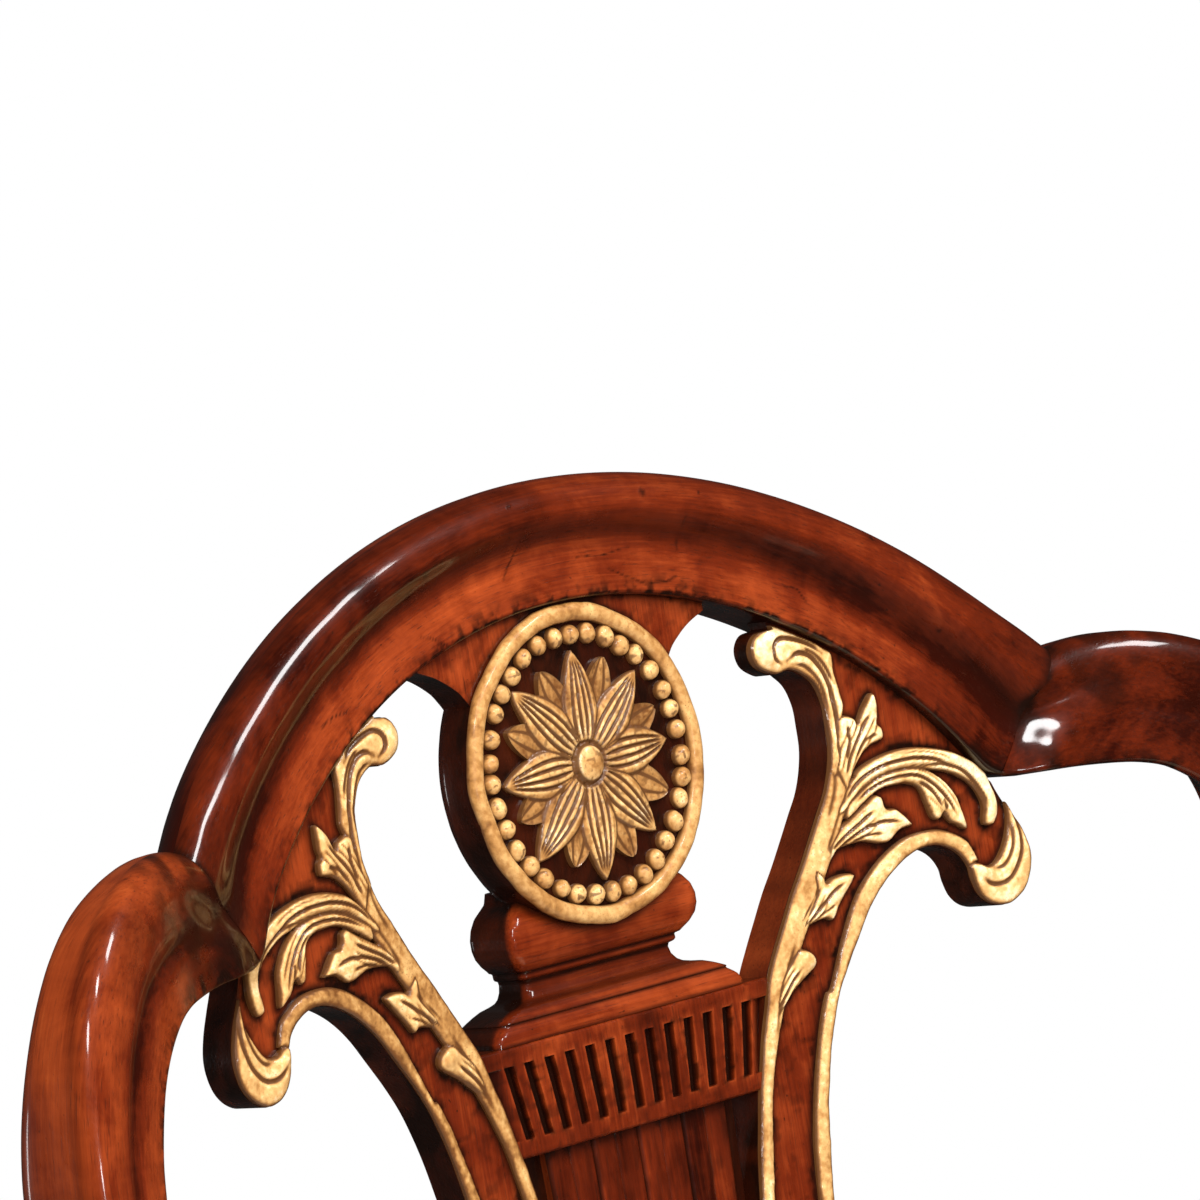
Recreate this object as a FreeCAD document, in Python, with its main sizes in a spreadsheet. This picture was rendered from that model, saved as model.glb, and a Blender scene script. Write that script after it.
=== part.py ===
import FreeCAD, Part
import math
import os
from FreeCAD import Placement, Rotation, Vector

# Lyre back armchair.
# Frame: +X to the sitter's left as seen from the front (right in a front view),
# +Y to the back, +Z up; the chair faces -Y and stands on z = 0. Millimetres.
# The back is drawn in a frame of its own: u across, v up the raked back,
# n forward out of the back, with its origin at the centre of the round boss.

doc = FreeCAD.newDocument("lyre_back_armchair")
sheet = doc.addObject("Spreadsheet::Sheet", "dims")

CELLS = [
    # the raked back
    ("trace_scale", 0.95),
    ("med_y", 258.22),
    ("med_z", 930.0),
    ("rake_deg", 13.34),
    ("crest_thick", 28.5),
    ("crest_front_n", 100.0),
    ("crest_rear_n", 60.0),
    ("slab_up", 160.0),
    ("slab_down", 420.0),
    ("splat_thick", 16.0),
    ("joint_gap", 0.25),
    # round boss, moulded plinth, frieze, strings, foot of the lyre
    ("boss_radius", 52.25),
    ("boss_depth", 17.6),
    ("boss_recess_radius", 46.5),
    ("boss_recess_depth", 2.4),
    ("neck_depth", 13.5),
    ("neck_setback", 3.2),
    ("plinth_depth", 22.0),
    ("plinth_setback", 4.5),
    ("frieze_width", 132.5),
    ("frieze_height", 36.0),
    ("frieze_depth", 19.0),
    ("frieze_setback", 3.2),
    ("flute_width", 4.6),
    ("flute_height", 24.3),
    ("flute_depth", 3.0),
    ("flute_pitch", 9.26),
    ("flute_count", 13),
    ("strings_depth", 9.0),
    ("strings_setback", 6.5),
    ("string_groove", 1.6),
    ("string_groove_depth", 1.4),
    ("lyre_foot_depth", 22.0),
    # seat frame of the chair
    ("rail_top", 470.0),
    ("rail_height", 65.0),
    ("rail_thick", 26.0),
    ("rear_rail_thick", 42.0),
    ("rear_rail_front_y", 125.5),
    ("rear_rail_half", 192.0),
    ("front_rail_y", -301.5),
    ("front_rail_half", 244.0),
    ("ledge_z", 452.0),
    ("lip", 12.0),
    ("post_x", 211.0),
    ("post_width", 38.0),
    ("post_front_y", 119.5),
    ("post_depth", 48.0),
    ("leg_x", 268.0),
    ("leg_y", -279.5),
    ("leg_block", 48.0),
    ("leg_block_low", 392.0),
    ("leg_neck", 40.0),
    ("leg_ankle", 27.0),
    ("spade_wide", 37.0),
    ("spade_low", 29.0),
    ("glide_height", 8.0),
    ("glide_radius", 11.5),
    ("side_front_x", 290.0),
    ("side_rear_x", 229.0),
    ("tenon_thick", 10.0),
    ("tenon_high", 42.0),
    ("tenon_long", 22.0),
    ("block_low", 410.0),
    ("block_high", 36.0),
    # drop-in seat
    ("seat_clear", 3.0),
    ("seat_bar", 55.0),
    ("seat_bar_thick", 18.0),
    ("web_thick", 1.5),
    ("web_wide", 50.0),
    ("pad_height", 30.0),
    ("pad_round", 13.0),
    ("cover_thick", 1.2),
    ("dust_thick", 1.0),
    ("dust_corner_cut", 36.0),
    # arms
    ("arm_wide", 42.0),
    ("arm_high", 27.0),
    ("support_wide", 34.0),
    ("support_long", 40.0),
    ("support_y", -148.0),
    # fasteners
    ("screw_radius", 2.2),
    ("screw_head_radius", 4.5),
    ("screw_length", 45.0),
    ("tack_head_radius", 4.0),
    ("tack_pin_radius", 0.8),
    ("tack_pin_length", 9.0),
]
for row, (alias, number) in enumerate(CELLS, start=1):
    sheet.set("A%d" % row, alias)
    sheet.set("B%d" % row, repr(number))
    sheet.setAlias("B%d" % row, alias)
doc.recompute()


def val(alias):
    return float(sheet.get(alias))


NODES = []


def node(obj, label):
    obj.Label = label
    NODES.append((obj, label))
    return obj


# ---------------------------------------------------------------- helpers
SC = val("trace_scale")
RAKE = math.radians(val("rake_deg"))
GAP = val("joint_gap")
BACK = Placement(
    Vector(0, val("med_y"), val("med_z")),
    Rotation(Vector(1, 0, 0), 90.0 - val("rake_deg")),
)


def back_point(u, v, n):
    return BACK.multVec(Vector(u, v, n))


def mm(points):
    return [(a * SC, b * SC) for a, b in points]


def mirrored(points):
    return [(-a, b) for a, b in points]


def spline_edge(points, axes="uv"):
    pts = [Vector(a, b, 0) if axes == "uv" else Vector(a, 0, b) for a, b in points]
    if len(pts) == 2:
        return Part.LineSegment(pts[0], pts[1]).toShape()
    curve = Part.BSplineCurve()
    curve.interpolate(pts)
    return curve.toShape()


def arc_edge(cx, cy, radius, a0, a1):
    am = 0.5 * (a0 + a1)
    pts = [
        Vector(cx + radius * math.cos(a), cy + radius * math.sin(a), 0)
        for a in (a0, am, a1)
    ]
    return Part.Arc(*pts).toShape()


def wire_object(name, edges):
    obj = doc.addObject("Part::Feature", name)
    obj.Shape = Part.Wire(Part.sortEdges(edges)[0])
    return obj


def extrude(name, base, direction, forward, reverse):
    obj = doc.addObject("Part::Extrusion", name)
    obj.Base = base
    obj.DirMode = "Custom"
    obj.Dir = direction
    obj.setExpression("LengthFwd", forward)
    obj.setExpression("LengthRev", reverse)
    obj.Solid = True
    return obj


def box(name, sizes, place):
    obj = doc.addObject("Part::Box", name)
    for prop, expr in zip(("Length", "Width", "Height"), sizes):
        obj.setExpression(prop, str(expr))
    obj.Placement = place
    return obj


def cylinder(name, radius, height, place):
    obj = doc.addObject("Part::Cylinder", name)
    obj.setExpression("Radius", str(radius))
    obj.setExpression("Height", str(height))
    obj.Placement = place
    return obj


def cut(name, base, tool):
    obj = doc.addObject("Part::Cut", name)
    obj.Base = base
    obj.Tool = tool
    return obj


def common(name, base, tool):
    obj = doc.addObject("Part::Common", name)
    obj.Base = base
    obj.Tool = tool
    return obj


def fuse(name, shapes):
    obj = doc.addObject("Part::MultiFuse", name)
    obj.Shapes = shapes
    obj.Refine = True
    return obj


def cuts(name, base, tools):
    for i, tool in enumerate(tools):
        base = cut("%s_c%d" % (name, i), base, tool)
    return base


def feature(name, shape, place=None):
    obj = doc.addObject("Part::Feature", name)
    obj.Shape = shape
    if place is not None:
        obj.Placement = place
    return obj


def plane_of(body, role):
    return [o for o in body.Origin.OriginFeatures if o.Role == role][0]


def polygon_sketch(body, name, role, points, offset=None):
    sk = body.newObject("Sketcher::SketchObject", name)
    sk.AttachmentSupport = [(plane_of(body, role), "")]
    sk.MapMode = "FlatFace"
    if offset is not None:
        sk.setExpression("AttachmentOffset.Base.z", str(offset))
    count = len(points)
    for i in range(count):
        a, b = points[i], points[(i + 1) % count]
        sk.addGeometry(
            Part.LineSegment(Vector(a[0], a[1], 0), Vector(b[0], b[1], 0)), False
        )
    return sk


def prism(name, points, base, height, role="XY_Plane"):
    """A closed outline padded up from a height above its origin plane."""
    body = doc.addObject("PartDesign::Body", name)
    sk = polygon_sketch(body, name + "_sketch", role, points, base)
    pad = body.newObject("PartDesign::Pad", name + "_pad")
    pad.Profile = sk
    pad.setExpression("Length", str(height))
    body.Tip = pad
    return body


def xyz(x, y, z, axis=None, angle=0.0):
    rot = Rotation() if axis is None else Rotation(Vector(*axis), angle)
    return Placement(Vector(x, y, z), rot)


# ---------------------------------------------------------------- outlines of the back
# plan bow of the crest and shoulders (front face), and of the lyre
CREST_BOW = [(0, 4), (60, 6), (120, 12), (178, 23), (200, 30.5), (222, 41), (240, 50.5),
             (258, 59.5), (275, 67), (292, 73), (310, 78)]
LYRE_BOW = [(0, -3.5), (40, -2.7), (80, 0), (110, 4.5), (140, 9.5), (170, 14), (198, 19)]


def interp(table, x):
    x = abs(x)
    for (x0, y0), (x1, y1) in zip(table, table[1:]):
        if x <= x1:
            return y0 + (y1 - y0) * (x - x0) / (x1 - x0)
    return table[-1][1]


def bowed_slab(name, table, thick):
    front = mm(mirrored(table[::-1])[:-1] + table)
    rear = [(a, b - thick) for a, b in front]
    edges = [
        spline_edge(front, "un"),
        spline_edge(rear, "un"),
        spline_edge([front[0], rear[0]], "un"),
        spline_edge([front[-1], rear[-1]], "un"),
    ]
    profile = wire_object(name + "_plan", edges)
    return extrude(name, profile, Vector(0, 1, 0), "dims.slab_up", "dims.slab_down")


R_OUT, C_OUT = 260.0 * SC, -163.0 * SC
R_IN, C_IN = 215.0 * SC, -160.0 * SC
JOINT_V = -97.0
CUSP_OUT = (196.0, -163.0 + math.sqrt(260.0**2 - 196.0**2))
CUSP_IN = (177.0, -160.0 + math.sqrt(215.0**2 - 177.0**2))
SHOULDER_OUT = [CUSP_OUT, (206, 9.6), (220, 9.3), (236, 7), (252, 2), (266, -5.5), (278, -16),
                (287, -29), (293.5, -44), (298, -61), (300.5, -79), (301.5, JOINT_V)]
SHOULDER_IN = [(263.5, JOINT_V), (259.5, -84), (253, -70), (245, -58.5), (235, -49.5), (222, -42.5),
               (206, -38.8), (191, -37.7), CUSP_IN]

a_out = math.atan2(CUSP_OUT[1] * SC - C_OUT, CUSP_OUT[0] * SC)
a_in = math.atan2(CUSP_IN[1] * SC - C_IN, CUSP_IN[0] * SC)
crest_edges = [
    arc_edge(0, C_OUT, R_OUT, a_out, math.pi - a_out),
    arc_edge(0, C_IN, R_IN, a_in, math.pi - a_in),
]
for side in (1, -1):
    so = [(side * a, b) for a, b in mm(SHOULDER_OUT)]
    si = [(side * a, b) for a, b in mm(SHOULDER_IN)]
    crest_edges += [spline_edge(so), spline_edge(si), spline_edge([so[-1], si[0]])]
crest_outline = wire_object("crest_outline", crest_edges)
crest_block = extrude("crest_block", crest_outline, Vector(0, 0, 1), "dims.crest_front_n", "dims.crest_rear_n")
crest_slab = bowed_slab("crest_slab", CREST_BOW, val("crest_thick"))
crest_blank = common("crest_blank", crest_block, crest_slab)

# tongues of the lyre and of the posts that enter the crest rail (local back frame)
boss_tongue = box("boss_tongue", (60, 13, 8), xyz(-30, 49, -13))
arm_tongues = {}
for side, tag in ((1, "right"), (-1, "left")):
    length = 26.0
    ang = math.degrees(math.atan2(-(0.70), 0.72))
    mid = (134.0, 9.5)
    rot = Rotation(Vector(0, 0, 1), side * ang)
    half = rot.multVec(Vector(length / 2, 0, 0))
    base = Vector(side * mid[0], mid[1], -1.5) - half
    base = base - rot.multVec(Vector(0, 6, 0))
    arm_tongues[tag] = box("arm_tongue_" + tag, (length, 13, 7), Placement(base, rot))
post_tenons = {}
for side, tag in ((1, "right"), (-1, "left")):
    uc = side * 282.0 * SC
    nf = interp(CREST_BOW, 282.0) * SC
    post_tenons[tag] = box(
        "post_tenon_" + tag,
        (20, 40, 11),
        xyz(uc - 10, JOINT_V * SC - 18, nf - 20.5),
    )
crest_cut = cuts("crest", crest_blank, [boss_tongue, arm_tongues["right"], arm_tongues["left"],
                                         post_tenons["right"], post_tenons["left"]])
crest_cut.Placement = BACK
node(crest_cut, "crest_rail")

# ---------------------------------------------------------------- lyre arms
ARM_IN = [(95, 31.4), (88.5, 30.6), (85, 27), (84.6, 22.5), (87, 18.5), (93.5, 15.3), (100, 15.8), (105, 13.6),
          (109.5, 9.3), (112, 2), (112.3, -6), (112, -14), (110, -22), (107, -29), (103, -35.3), (98, -43.3),
          (92.2, -52.3), (86.4, -60.5), (80.7, -69.5), (75, -78.5), (69.5, -88), (66.2, -98), (62.5, -108),
          (59.3, -119), (57, -127), (55.2, -134.6), (53, -144), (51.9, -150), (49.5, -165), (48.5, -180), (50, -200),
          (55, -225), (62.5, -255), (68.5, -285), (70, -310), (67, -335), (59, -360), (48, -382), (38, -400)]
ARM_OUT = [(66, -400), (78, -388), (90, -370), (99.5, -342), (103, -312), (101.5, -285), (96.5, -255), (90, -225),
           (84.5, -200), (82.5, -180), (83, -165), (85.3, -148.6), (86.8, -138), (89, -128.8), (91.7, -119),
           (95, -109.7), (99.3, -100), (104.8, -91), (111.8, -81.3), (119, -71.8), (127, -64.3), (136, -58.8),
           (143.6, -56.3), (150.5, -56.3), (156.8, -58.6), (161, -62), (163.6, -66.5), (164.3, -71), (166.5, -77),
           (171, -81.2), (177.8, -82.8), (184, -80.5), (188.6, -76), (191, -70), (191.3, -64), (189.3, -57),
           (186, -50), (182.6, -43.5), (180.5, -38.6)]


def lyre_arm(side, tag):
    gap = GAP / SC
    top_r = 215.0 - gap
    cusp = (177.0, CUSP_IN[1] - gap)
    a0 = math.atan2(cusp[1] + 160.0, cusp[0])
    r_cusp = math.hypot(cusp[0], cusp[1] + 160.0)
    a1 = math.acos(95.0 / top_r)
    start = (top_r * math.cos(a1), -160.0 + top_r * math.sin(a1))
    cusp_on = (top_r * math.cos(a0), -160.0 + top_r * math.sin(a0))
    inner = [start] + ARM_IN[1:]
    end = (ARM_OUT[-1][0], CUSP_IN[1] - 0.6)
    outer = ARM_OUT[:-1] + [end]
    flip = lambda pts: [(side * a, b) for a, b in mm(pts)]
    arc_pts = []
    for k in range(3):
        a = a0 + (a1 - a0) * k / 2.0
        arc_pts.append(Vector(side * top_r * math.cos(a) * SC, (-160.0 + top_r * math.sin(a)) * SC, 0))
    edges = [
        spline_edge(flip(inner)),
        spline_edge(flip([inner[-1], outer[0]])),
        spline_edge(flip(outer)),
        spline_edge(flip([end, cusp_on])),
        Part.Arc(*arc_pts).toShape(),
    ]
    outline = wire_object("lyre_arm_outline_" + tag, edges)
    block = extrude("lyre_arm_block_" + tag, outline, Vector(0, 0, 1), "dims.crest_front_n", "dims.crest_rear_n")
    slab = bowed_slab("lyre_arm_slab_" + tag, LYRE_BOW, val("splat_thick"))
    blank = common("lyre_arm_blank_" + tag, block, slab)
    arm = fuse("lyre_arm_body_" + tag, [blank, arm_tongues[tag]])
    arm.Placement = BACK
    node(arm, "lyre_arm_" + tag)


lyre_arm(1, "right")
lyre_arm(-1, "left")

# ---------------------------------------------------------------- round boss and its neck
boss = cylinder("boss_disc", "dims.boss_radius", "dims.boss_depth", xyz(0, 0, -val("boss_depth")))
recess = cylinder("boss_recess", "dims.boss_recess_radius", "dims.boss_recess_depth", xyz(0, 0, -val("boss_recess_depth")))
top_r = R_IN - GAP
neck_pts = mm([(47, 28), (52.5, 34), (60, 39), (68.5, 42.5)])
a_neck = math.acos(neck_pts[-1][0] / top_r)
neck_pts[-1] = (top_r * math.cos(a_neck), C_IN + top_r * math.sin(a_neck))
neck_edges = [
    spline_edge(neck_pts),
    spline_edge(mirrored(neck_pts)),
    arc_edge(0, C_IN, top_r, a_neck, math.pi - a_neck),
    spline_edge([neck_pts[0], (-neck_pts[0][0], neck_pts[0][1])]),
]
neck_outline = wire_object("neck_outline", neck_edges)
neck_outline.Placement = xyz(0, 0, -val("neck_setback"))
neck = extrude("neck", neck_outline, Vector(0, 0, -1), "dims.neck_depth", "0")
boss_core = cut("boss_core", boss, recess)
medallion = fuse("medallion_body", [boss_core, neck, boss_tongue])
medallion.Placement = BACK
node(medallion, "medallion")

# moulded plinth under the boss: cushion, cove and ogee
PLINTH = [(45, -52.5), (44, -59), (39.5, -64.5), (36.5, -66), (35.2, -68.2), (36, -72), (38.5, -74.8), (46, -76.8),
          (52, -78.8), (56.5, -81), (58.5, -83.5), (60, -87.6)]
top = [(36, -41.5), (41.5, -45.5), (45, -52.5)]
right = mm(top) + mm(PLINTH[1:])
plinth_edges = [
    spline_edge(right),
    spline_edge(mirrored(right)),
    spline_edge([right[-1], mirrored(right)[-1]]),
    spline_edge([right[0], mirrored(right)[0]]),
]
plinth_outline = wire_object("plinth_outline", plinth_edges)
plinth_outline.Placement = xyz(0, 0, -val("plinth_setback"))
plinth_block = extrude("plinth_block", plinth_outline, Vector(0, 0, -1), "dims.plinth_depth", "0")
plinth_seat = cylinder("plinth_seat", "dims.boss_radius + dims.joint_gap", "80", xyz(0, 0, -60))
plinth = cut("plinth_body", plinth_block, plinth_seat)
plinth.Placement = BACK
node(plinth, "lyre_plinth")

# fluted frieze between the arms
FRIEZE_TOP = -87.6 * SC
frieze = doc.addObject("PartDesign::Body", "frieze_body")
fw, fh = val("frieze_width"), val("frieze_height")
fsk = polygon_sketch(frieze, "frieze_sketch", "XY_Plane",
                     [(-fw / 2, -fh), (fw / 2, -fh), (fw / 2, 0), (-fw / 2, 0)])
fpad = frieze.newObject("PartDesign::Pad", "frieze_pad")
fpad.Profile = fsk
fpad.setExpression("Length", "dims.frieze_depth")
doc.recompute()
u0 = -val("flute_pitch") * (val("flute_count") - 1) / 2.0
hw, hh = val("flute_width") / 2.0, val("flute_height") / 2.0
flsk = polygon_sketch(frieze, "flute_sketch", "XY_Plane",
                      [(u0 - hw, -fh / 2 - hh), (u0 + hw, -fh / 2 - hh), (u0 + hw, -fh / 2 + hh), (u0 - hw, -fh / 2 + hh)],
                      "dims.frieze_depth")
flute = frieze.newObject("PartDesign::Pocket", "flute_pocket")
flute.Profile = flsk
flute.setExpression("Length", "dims.flute_depth")
frieze.Tip = flute
doc.recompute()
pattern = frieze.newObject("PartDesign::LinearPattern", "flute_row")
pattern.Originals = [flute]
pattern.Direction = (flsk, ["H_Axis"])
pattern.Length = val("flute_pitch") * (val("flute_count") - 1)
pattern.Occurrences = int(val("flute_count"))
frieze.Tip = pattern
doc.recompute()
full = fw * fh * val("frieze_depth")
carved = full - val("flute_count") * val("flute_width") * val("flute_height") * val("flute_depth")
if abs(frieze.Shape.Volume - carved) > 5.0:
    raise RuntimeError("flutes are not cut: %.1f against %.1f" % (frieze.Shape.Volume, carved))
# the ends are cut to the slope of the arms
side_tools = []
for side in (1, -1):
    pts = mm([(69.0, -80), (55.6, -130), (110, -130), (110, -80)])
    pts = [(side * a, b - FRIEZE_TOP) for a, b in pts]
    if side < 0:
        pts = pts[::-1]
    side_tools.append(prism("frieze_end_%s" % ("r" if side > 0 else "l"), pts, "-5", "60"))
frieze_cut = cuts("frieze", frieze, side_tools)
frieze_cut.Placement = BACK.multiply(xyz(0, FRIEZE_TOP, -val("frieze_setback") - val("frieze_depth")))
node(frieze_cut, "lyre_frieze")
FRIEZE_LOW = FRIEZE_TOP - fh

# panel of strings below the frieze
FOOT_TOP = -400.0 * SC
strings = doc.addObject("PartDesign::Body", "strings_body")
ssk = polygon_sketch(strings, "strings_sketch", "XY_Plane",
                     [(-34 * SC, FOOT_TOP), (34 * SC, FOOT_TOP), (43.5 * SC, FRIEZE_LOW), (-43.5 * SC, FRIEZE_LOW)])
spad = strings.newObject("PartDesign::Pad", "strings_pad")
spad.Profile = ssk
spad.setExpression("Length", "dims.strings_depth")
doc.recompute()
groove = strings.newObject("Sketcher::SketchObject", "string_lines")
groove.AttachmentSupport = [(plane_of(strings, "XY_Plane"), "")]
groove.MapMode = "FlatFace"
groove.setExpression("AttachmentOffset.Base.z", "dims.strings_depth")
gw = val("string_groove") / 2.0
for k in range(-3, 4):
    top_u, low_u = 43.5 * SC * k / 4.0, 34 * SC * k / 4.0
    quad = [(low_u - gw, FOOT_TOP - 2), (low_u + gw, FOOT_TOP - 2), (top_u + gw, FRIEZE_LOW + 2), (top_u - gw, FRIEZE_LOW + 2)]
    for i in range(4):
        a, b = quad[i], quad[(i + 1) % 4]
        groove.addGeometry(Part.LineSegment(Vector(a[0], a[1], 0), Vector(b[0], b[1], 0)), False)
sgroove = strings.newObject("PartDesign::Pocket", "string_grooves")
sgroove.Profile = groove
sgroove.setExpression("Length", "dims.string_groove_depth")
strings.Tip = sgroove
strings.Placement = BACK.multiply(xyz(0, 0, -val("strings_setback") - val("strings_depth")))
node(strings, "lyre_strings")

# moulded foot of the lyre
SHOE_V = -452.0 * SC
foot_right = mm([(70, -400), (72, -404), (70, -409), (60, -414), (54, -421), (54, -430), (62, -439), (78, -444), (80, -452)])
foot_edges = [
    spline_edge(foot_right),
    spline_edge(mirrored(foot_right)),
    spline_edge([foot_right[0], mirrored(foot_right)[0]]),
    spline_edge([foot_right[-1], mirrored(foot_right)[-1]]),
]
foot_outline = wire_object("lyre_foot_outline", foot_edges)
foot_outline.Placement = xyz(0, 0, 0.0)
foot_block = extrude("lyre_foot_block", foot_outline, Vector(0, 0, -1), "dims.lyre_foot_depth", "0")
foot_tenon = box("lyre_foot_tenon", (70, 22, 9), xyz(-35, SHOE_V - 18, -15))
foot = fuse("lyre_foot_body", [foot_block, foot_tenon])
foot.Placement = BACK
node(foot, "lyre_base")

# shoe on the rear rail that holds the foot of the lyre
def shoe_yz(n):
    p = back_point(0, SHOE_V, n)
    return (p.y, p.z)


z_top = val("rail_top")
shoe_pts = [(137.5, z_top), (167.5, z_top), shoe_yz(-24.5), shoe_yz(4.0), (149.5, z_top + 27), (140.5, z_top + 12)]
shoe = prism("shoe_body", shoe_pts, "-dims.rear_rail_half", "2 * dims.rear_rail_half", "YZ_Plane")
foot_mortise = feature("lyre_foot_mortise", Part.makeBox(70, 22, 9), BACK.multiply(xyz(-35, SHOE_V - 18, -15)))
shoe_cut = cut("shoe_cut", shoe, foot_mortise)

# ---------------------------------------------------------------- rails, legs and posts
zt, rh = val("rail_top"), val("rail_height")
zl = zt - rh
SLOPE = (val("side_front_x") - val("side_rear_x")) / (val("post_front_y") - (val("leg_y") + val("leg_block") / 2))
LEG_BACK = val("leg_y") + val("leg_block") / 2
COS_S = 1.0 / math.sqrt(1.0 + SLOPE * SLOPE)
YAW = math.degrees(math.atan(SLOPE))


def side_x(y, inset=0.0):
    """Outer face of a side rail at depth y, moved in square to that face."""
    return val("side_front_x") - SLOPE * (y - LEG_BACK) - inset / COS_S


lip = val("lip")
WELL_FRONT = val("front_rail_y") + lip
WELL_REAR = val("rear_rail_front_y") + 10.0
PF = val("post_front_y")
RH = val("rear_rail_half")


def seat_outline(inset):
    """Plan of the drop-in seat, moved in from the well by a clearance."""
    yf, yr, yn = WELL_FRONT + inset, WELL_REAR - inset, PF - inset
    half = [(side_x(yf, lip + inset), yf), (side_x(yn, lip + inset), yn), (RH - inset, yn), (RH - inset, yr)]
    return [(-half[0][0], half[0][1])] + half + [(-a, b) for a, b in half[:0:-1]]


well = prism("seat_well", seat_outline(0.0), "dims.ledge_z", "40")

# tenons of the rails
t_th, t_hi, t_lo = val("tenon_thick"), val("tenon_high"), val("tenon_long")
T_SIZE = ("dims.tenon_long", "dims.tenon_thick", "dims.tenon_high")
tz = zl + 6.0
TEN = {}
for side, tag in ((1, "right"), (-1, "left")):
    xf = val("front_rail_half")
    TEN["front_" + tag] = box("tenon_front_" + tag, T_SIZE,
                              xyz(xf if side > 0 else -xf - t_lo, val("front_rail_y") + 14.0, tz))
    TEN["rear_" + tag] = box("tenon_rear_" + tag, T_SIZE,
                             xyz(RH if side > 0 else -RH - t_lo, val("rear_rail_front_y") + 22.0, tz))
    xc = side_x(LEG_BACK, 18.0)
    TEN["sidef_" + tag] = box("tenon_sidef_" + tag, ("dims.tenon_thick", "dims.tenon_long", "dims.tenon_high"),
                              xyz(side * xc - t_th / 2, LEG_BACK - t_lo, tz - 3))
    xc = side_x(PF, 15.0)
    TEN["sider_" + tag] = box("tenon_sider_" + tag, ("dims.tenon_thick", "dims.tenon_long", "dims.tenon_high"),
                              xyz(side * xc - t_th / 2, PF, tz - 3))

# front rail
front_core = box("front_core", ("2 * dims.front_rail_half", "dims.rail_thick", "dims.rail_height"),
                 xyz(-val("front_rail_half"), val("front_rail_y"), zl))
front_all = fuse("front_all", [front_core, TEN["front_right"], TEN["front_left"]])
node(cut("front_rail_body", front_all, well), "seat_rail_front")

# rear rail, with the shoe glued on top
rear_core = box("rear_core", ("2 * dims.rear_rail_half", "dims.rear_rail_thick", "dims.rail_height"),
                xyz(-RH, val("rear_rail_front_y"), zl))
rear_all = fuse("rear_all", [rear_core, TEN["rear_right"], TEN["rear_left"]])
node(cut("rear_rail_body", rear_all, well), "seat_rail_rear")
node(shoe_cut, "shoe_rail")

# side rails
for side, tag in ((1, "right"), (-1, "left")):
    th = val("rail_thick")
    pts = [(side_x(LEG_BACK), LEG_BACK), (side_x(PF), PF), (side_x(PF, th), PF), (side_x(LEG_BACK, th), LEG_BACK)]
    pts = [(side * a, b) for a, b in pts]
    core = prism("side_core_" + tag, pts, "dims.rail_top - dims.rail_height", "dims.rail_height")
    allr = fuse("side_all_" + tag, [core, TEN["sidef_" + tag], TEN["sider_" + tag]])
    node(cut("side_rail_body_" + tag, allr, well), "seat_rail_" + tag)


# front legs: square block, tapered shaft, spade foot
def square(name, size, x, y, z):
    obj = doc.addObject("Part::RegularPolygon", name)
    obj.Polygon = 4
    obj.setExpression("Circumradius", "(%s) / sqrt(2)" % size)
    obj.Placement = Placement(Vector(x, y, z), Rotation(Vector(0, 0, 1), 45))
    return obj


def ruled_loft(name, sections):
    obj = doc.addObject("Part::Loft", name)
    obj.Sections = sections
    obj.Solid = True
    obj.Ruled = True
    return obj


for side, tag in ((1, "right"), (-1, "left")):
    x, y = side * val("leg_x"), val("leg_y")
    levels = [("dims.leg_block", zt), ("dims.leg_block", val("leg_block_low")), ("dims.leg_neck", val("leg_block_low") - 5),
              ("dims.leg_ankle", 74), ("dims.spade_wide", 66), ("dims.spade_wide", 58), ("dims.spade_low", val("glide_height"))]
    secs = [square("leg_%s_s%d" % (tag, i), s, x, y, z) for i, (s, z) in enumerate(levels)]
    shaft = ruled_loft("leg_loft_" + tag, secs)
    leg = cuts("front_leg_body_" + tag, shaft, [TEN["front_" + tag], TEN["sidef_" + tag], well])
    node(leg, "front_leg_" + tag)

# rear posts: raked foot, straight stretch at the seat rails, swelling stile above
POST_C = [(-492, 222, 40, 33.5), (-440, 229.5, 39, 36.5), (-380, 240.5, 38.5, 42.5), (-320, 253, 38.5, 49),
          (-260, 265, 38.5, 55.5), (-200, 275, 38.5, 61.5), (-150, 280.8, 38.3, 66), (-120, 282.4, 38, 68.5),
          (JOINT_V, 282.5, 38, 69.7)]


def rectangle_wire(points):
    return Part.makePolygon(points + [points[0]])


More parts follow.
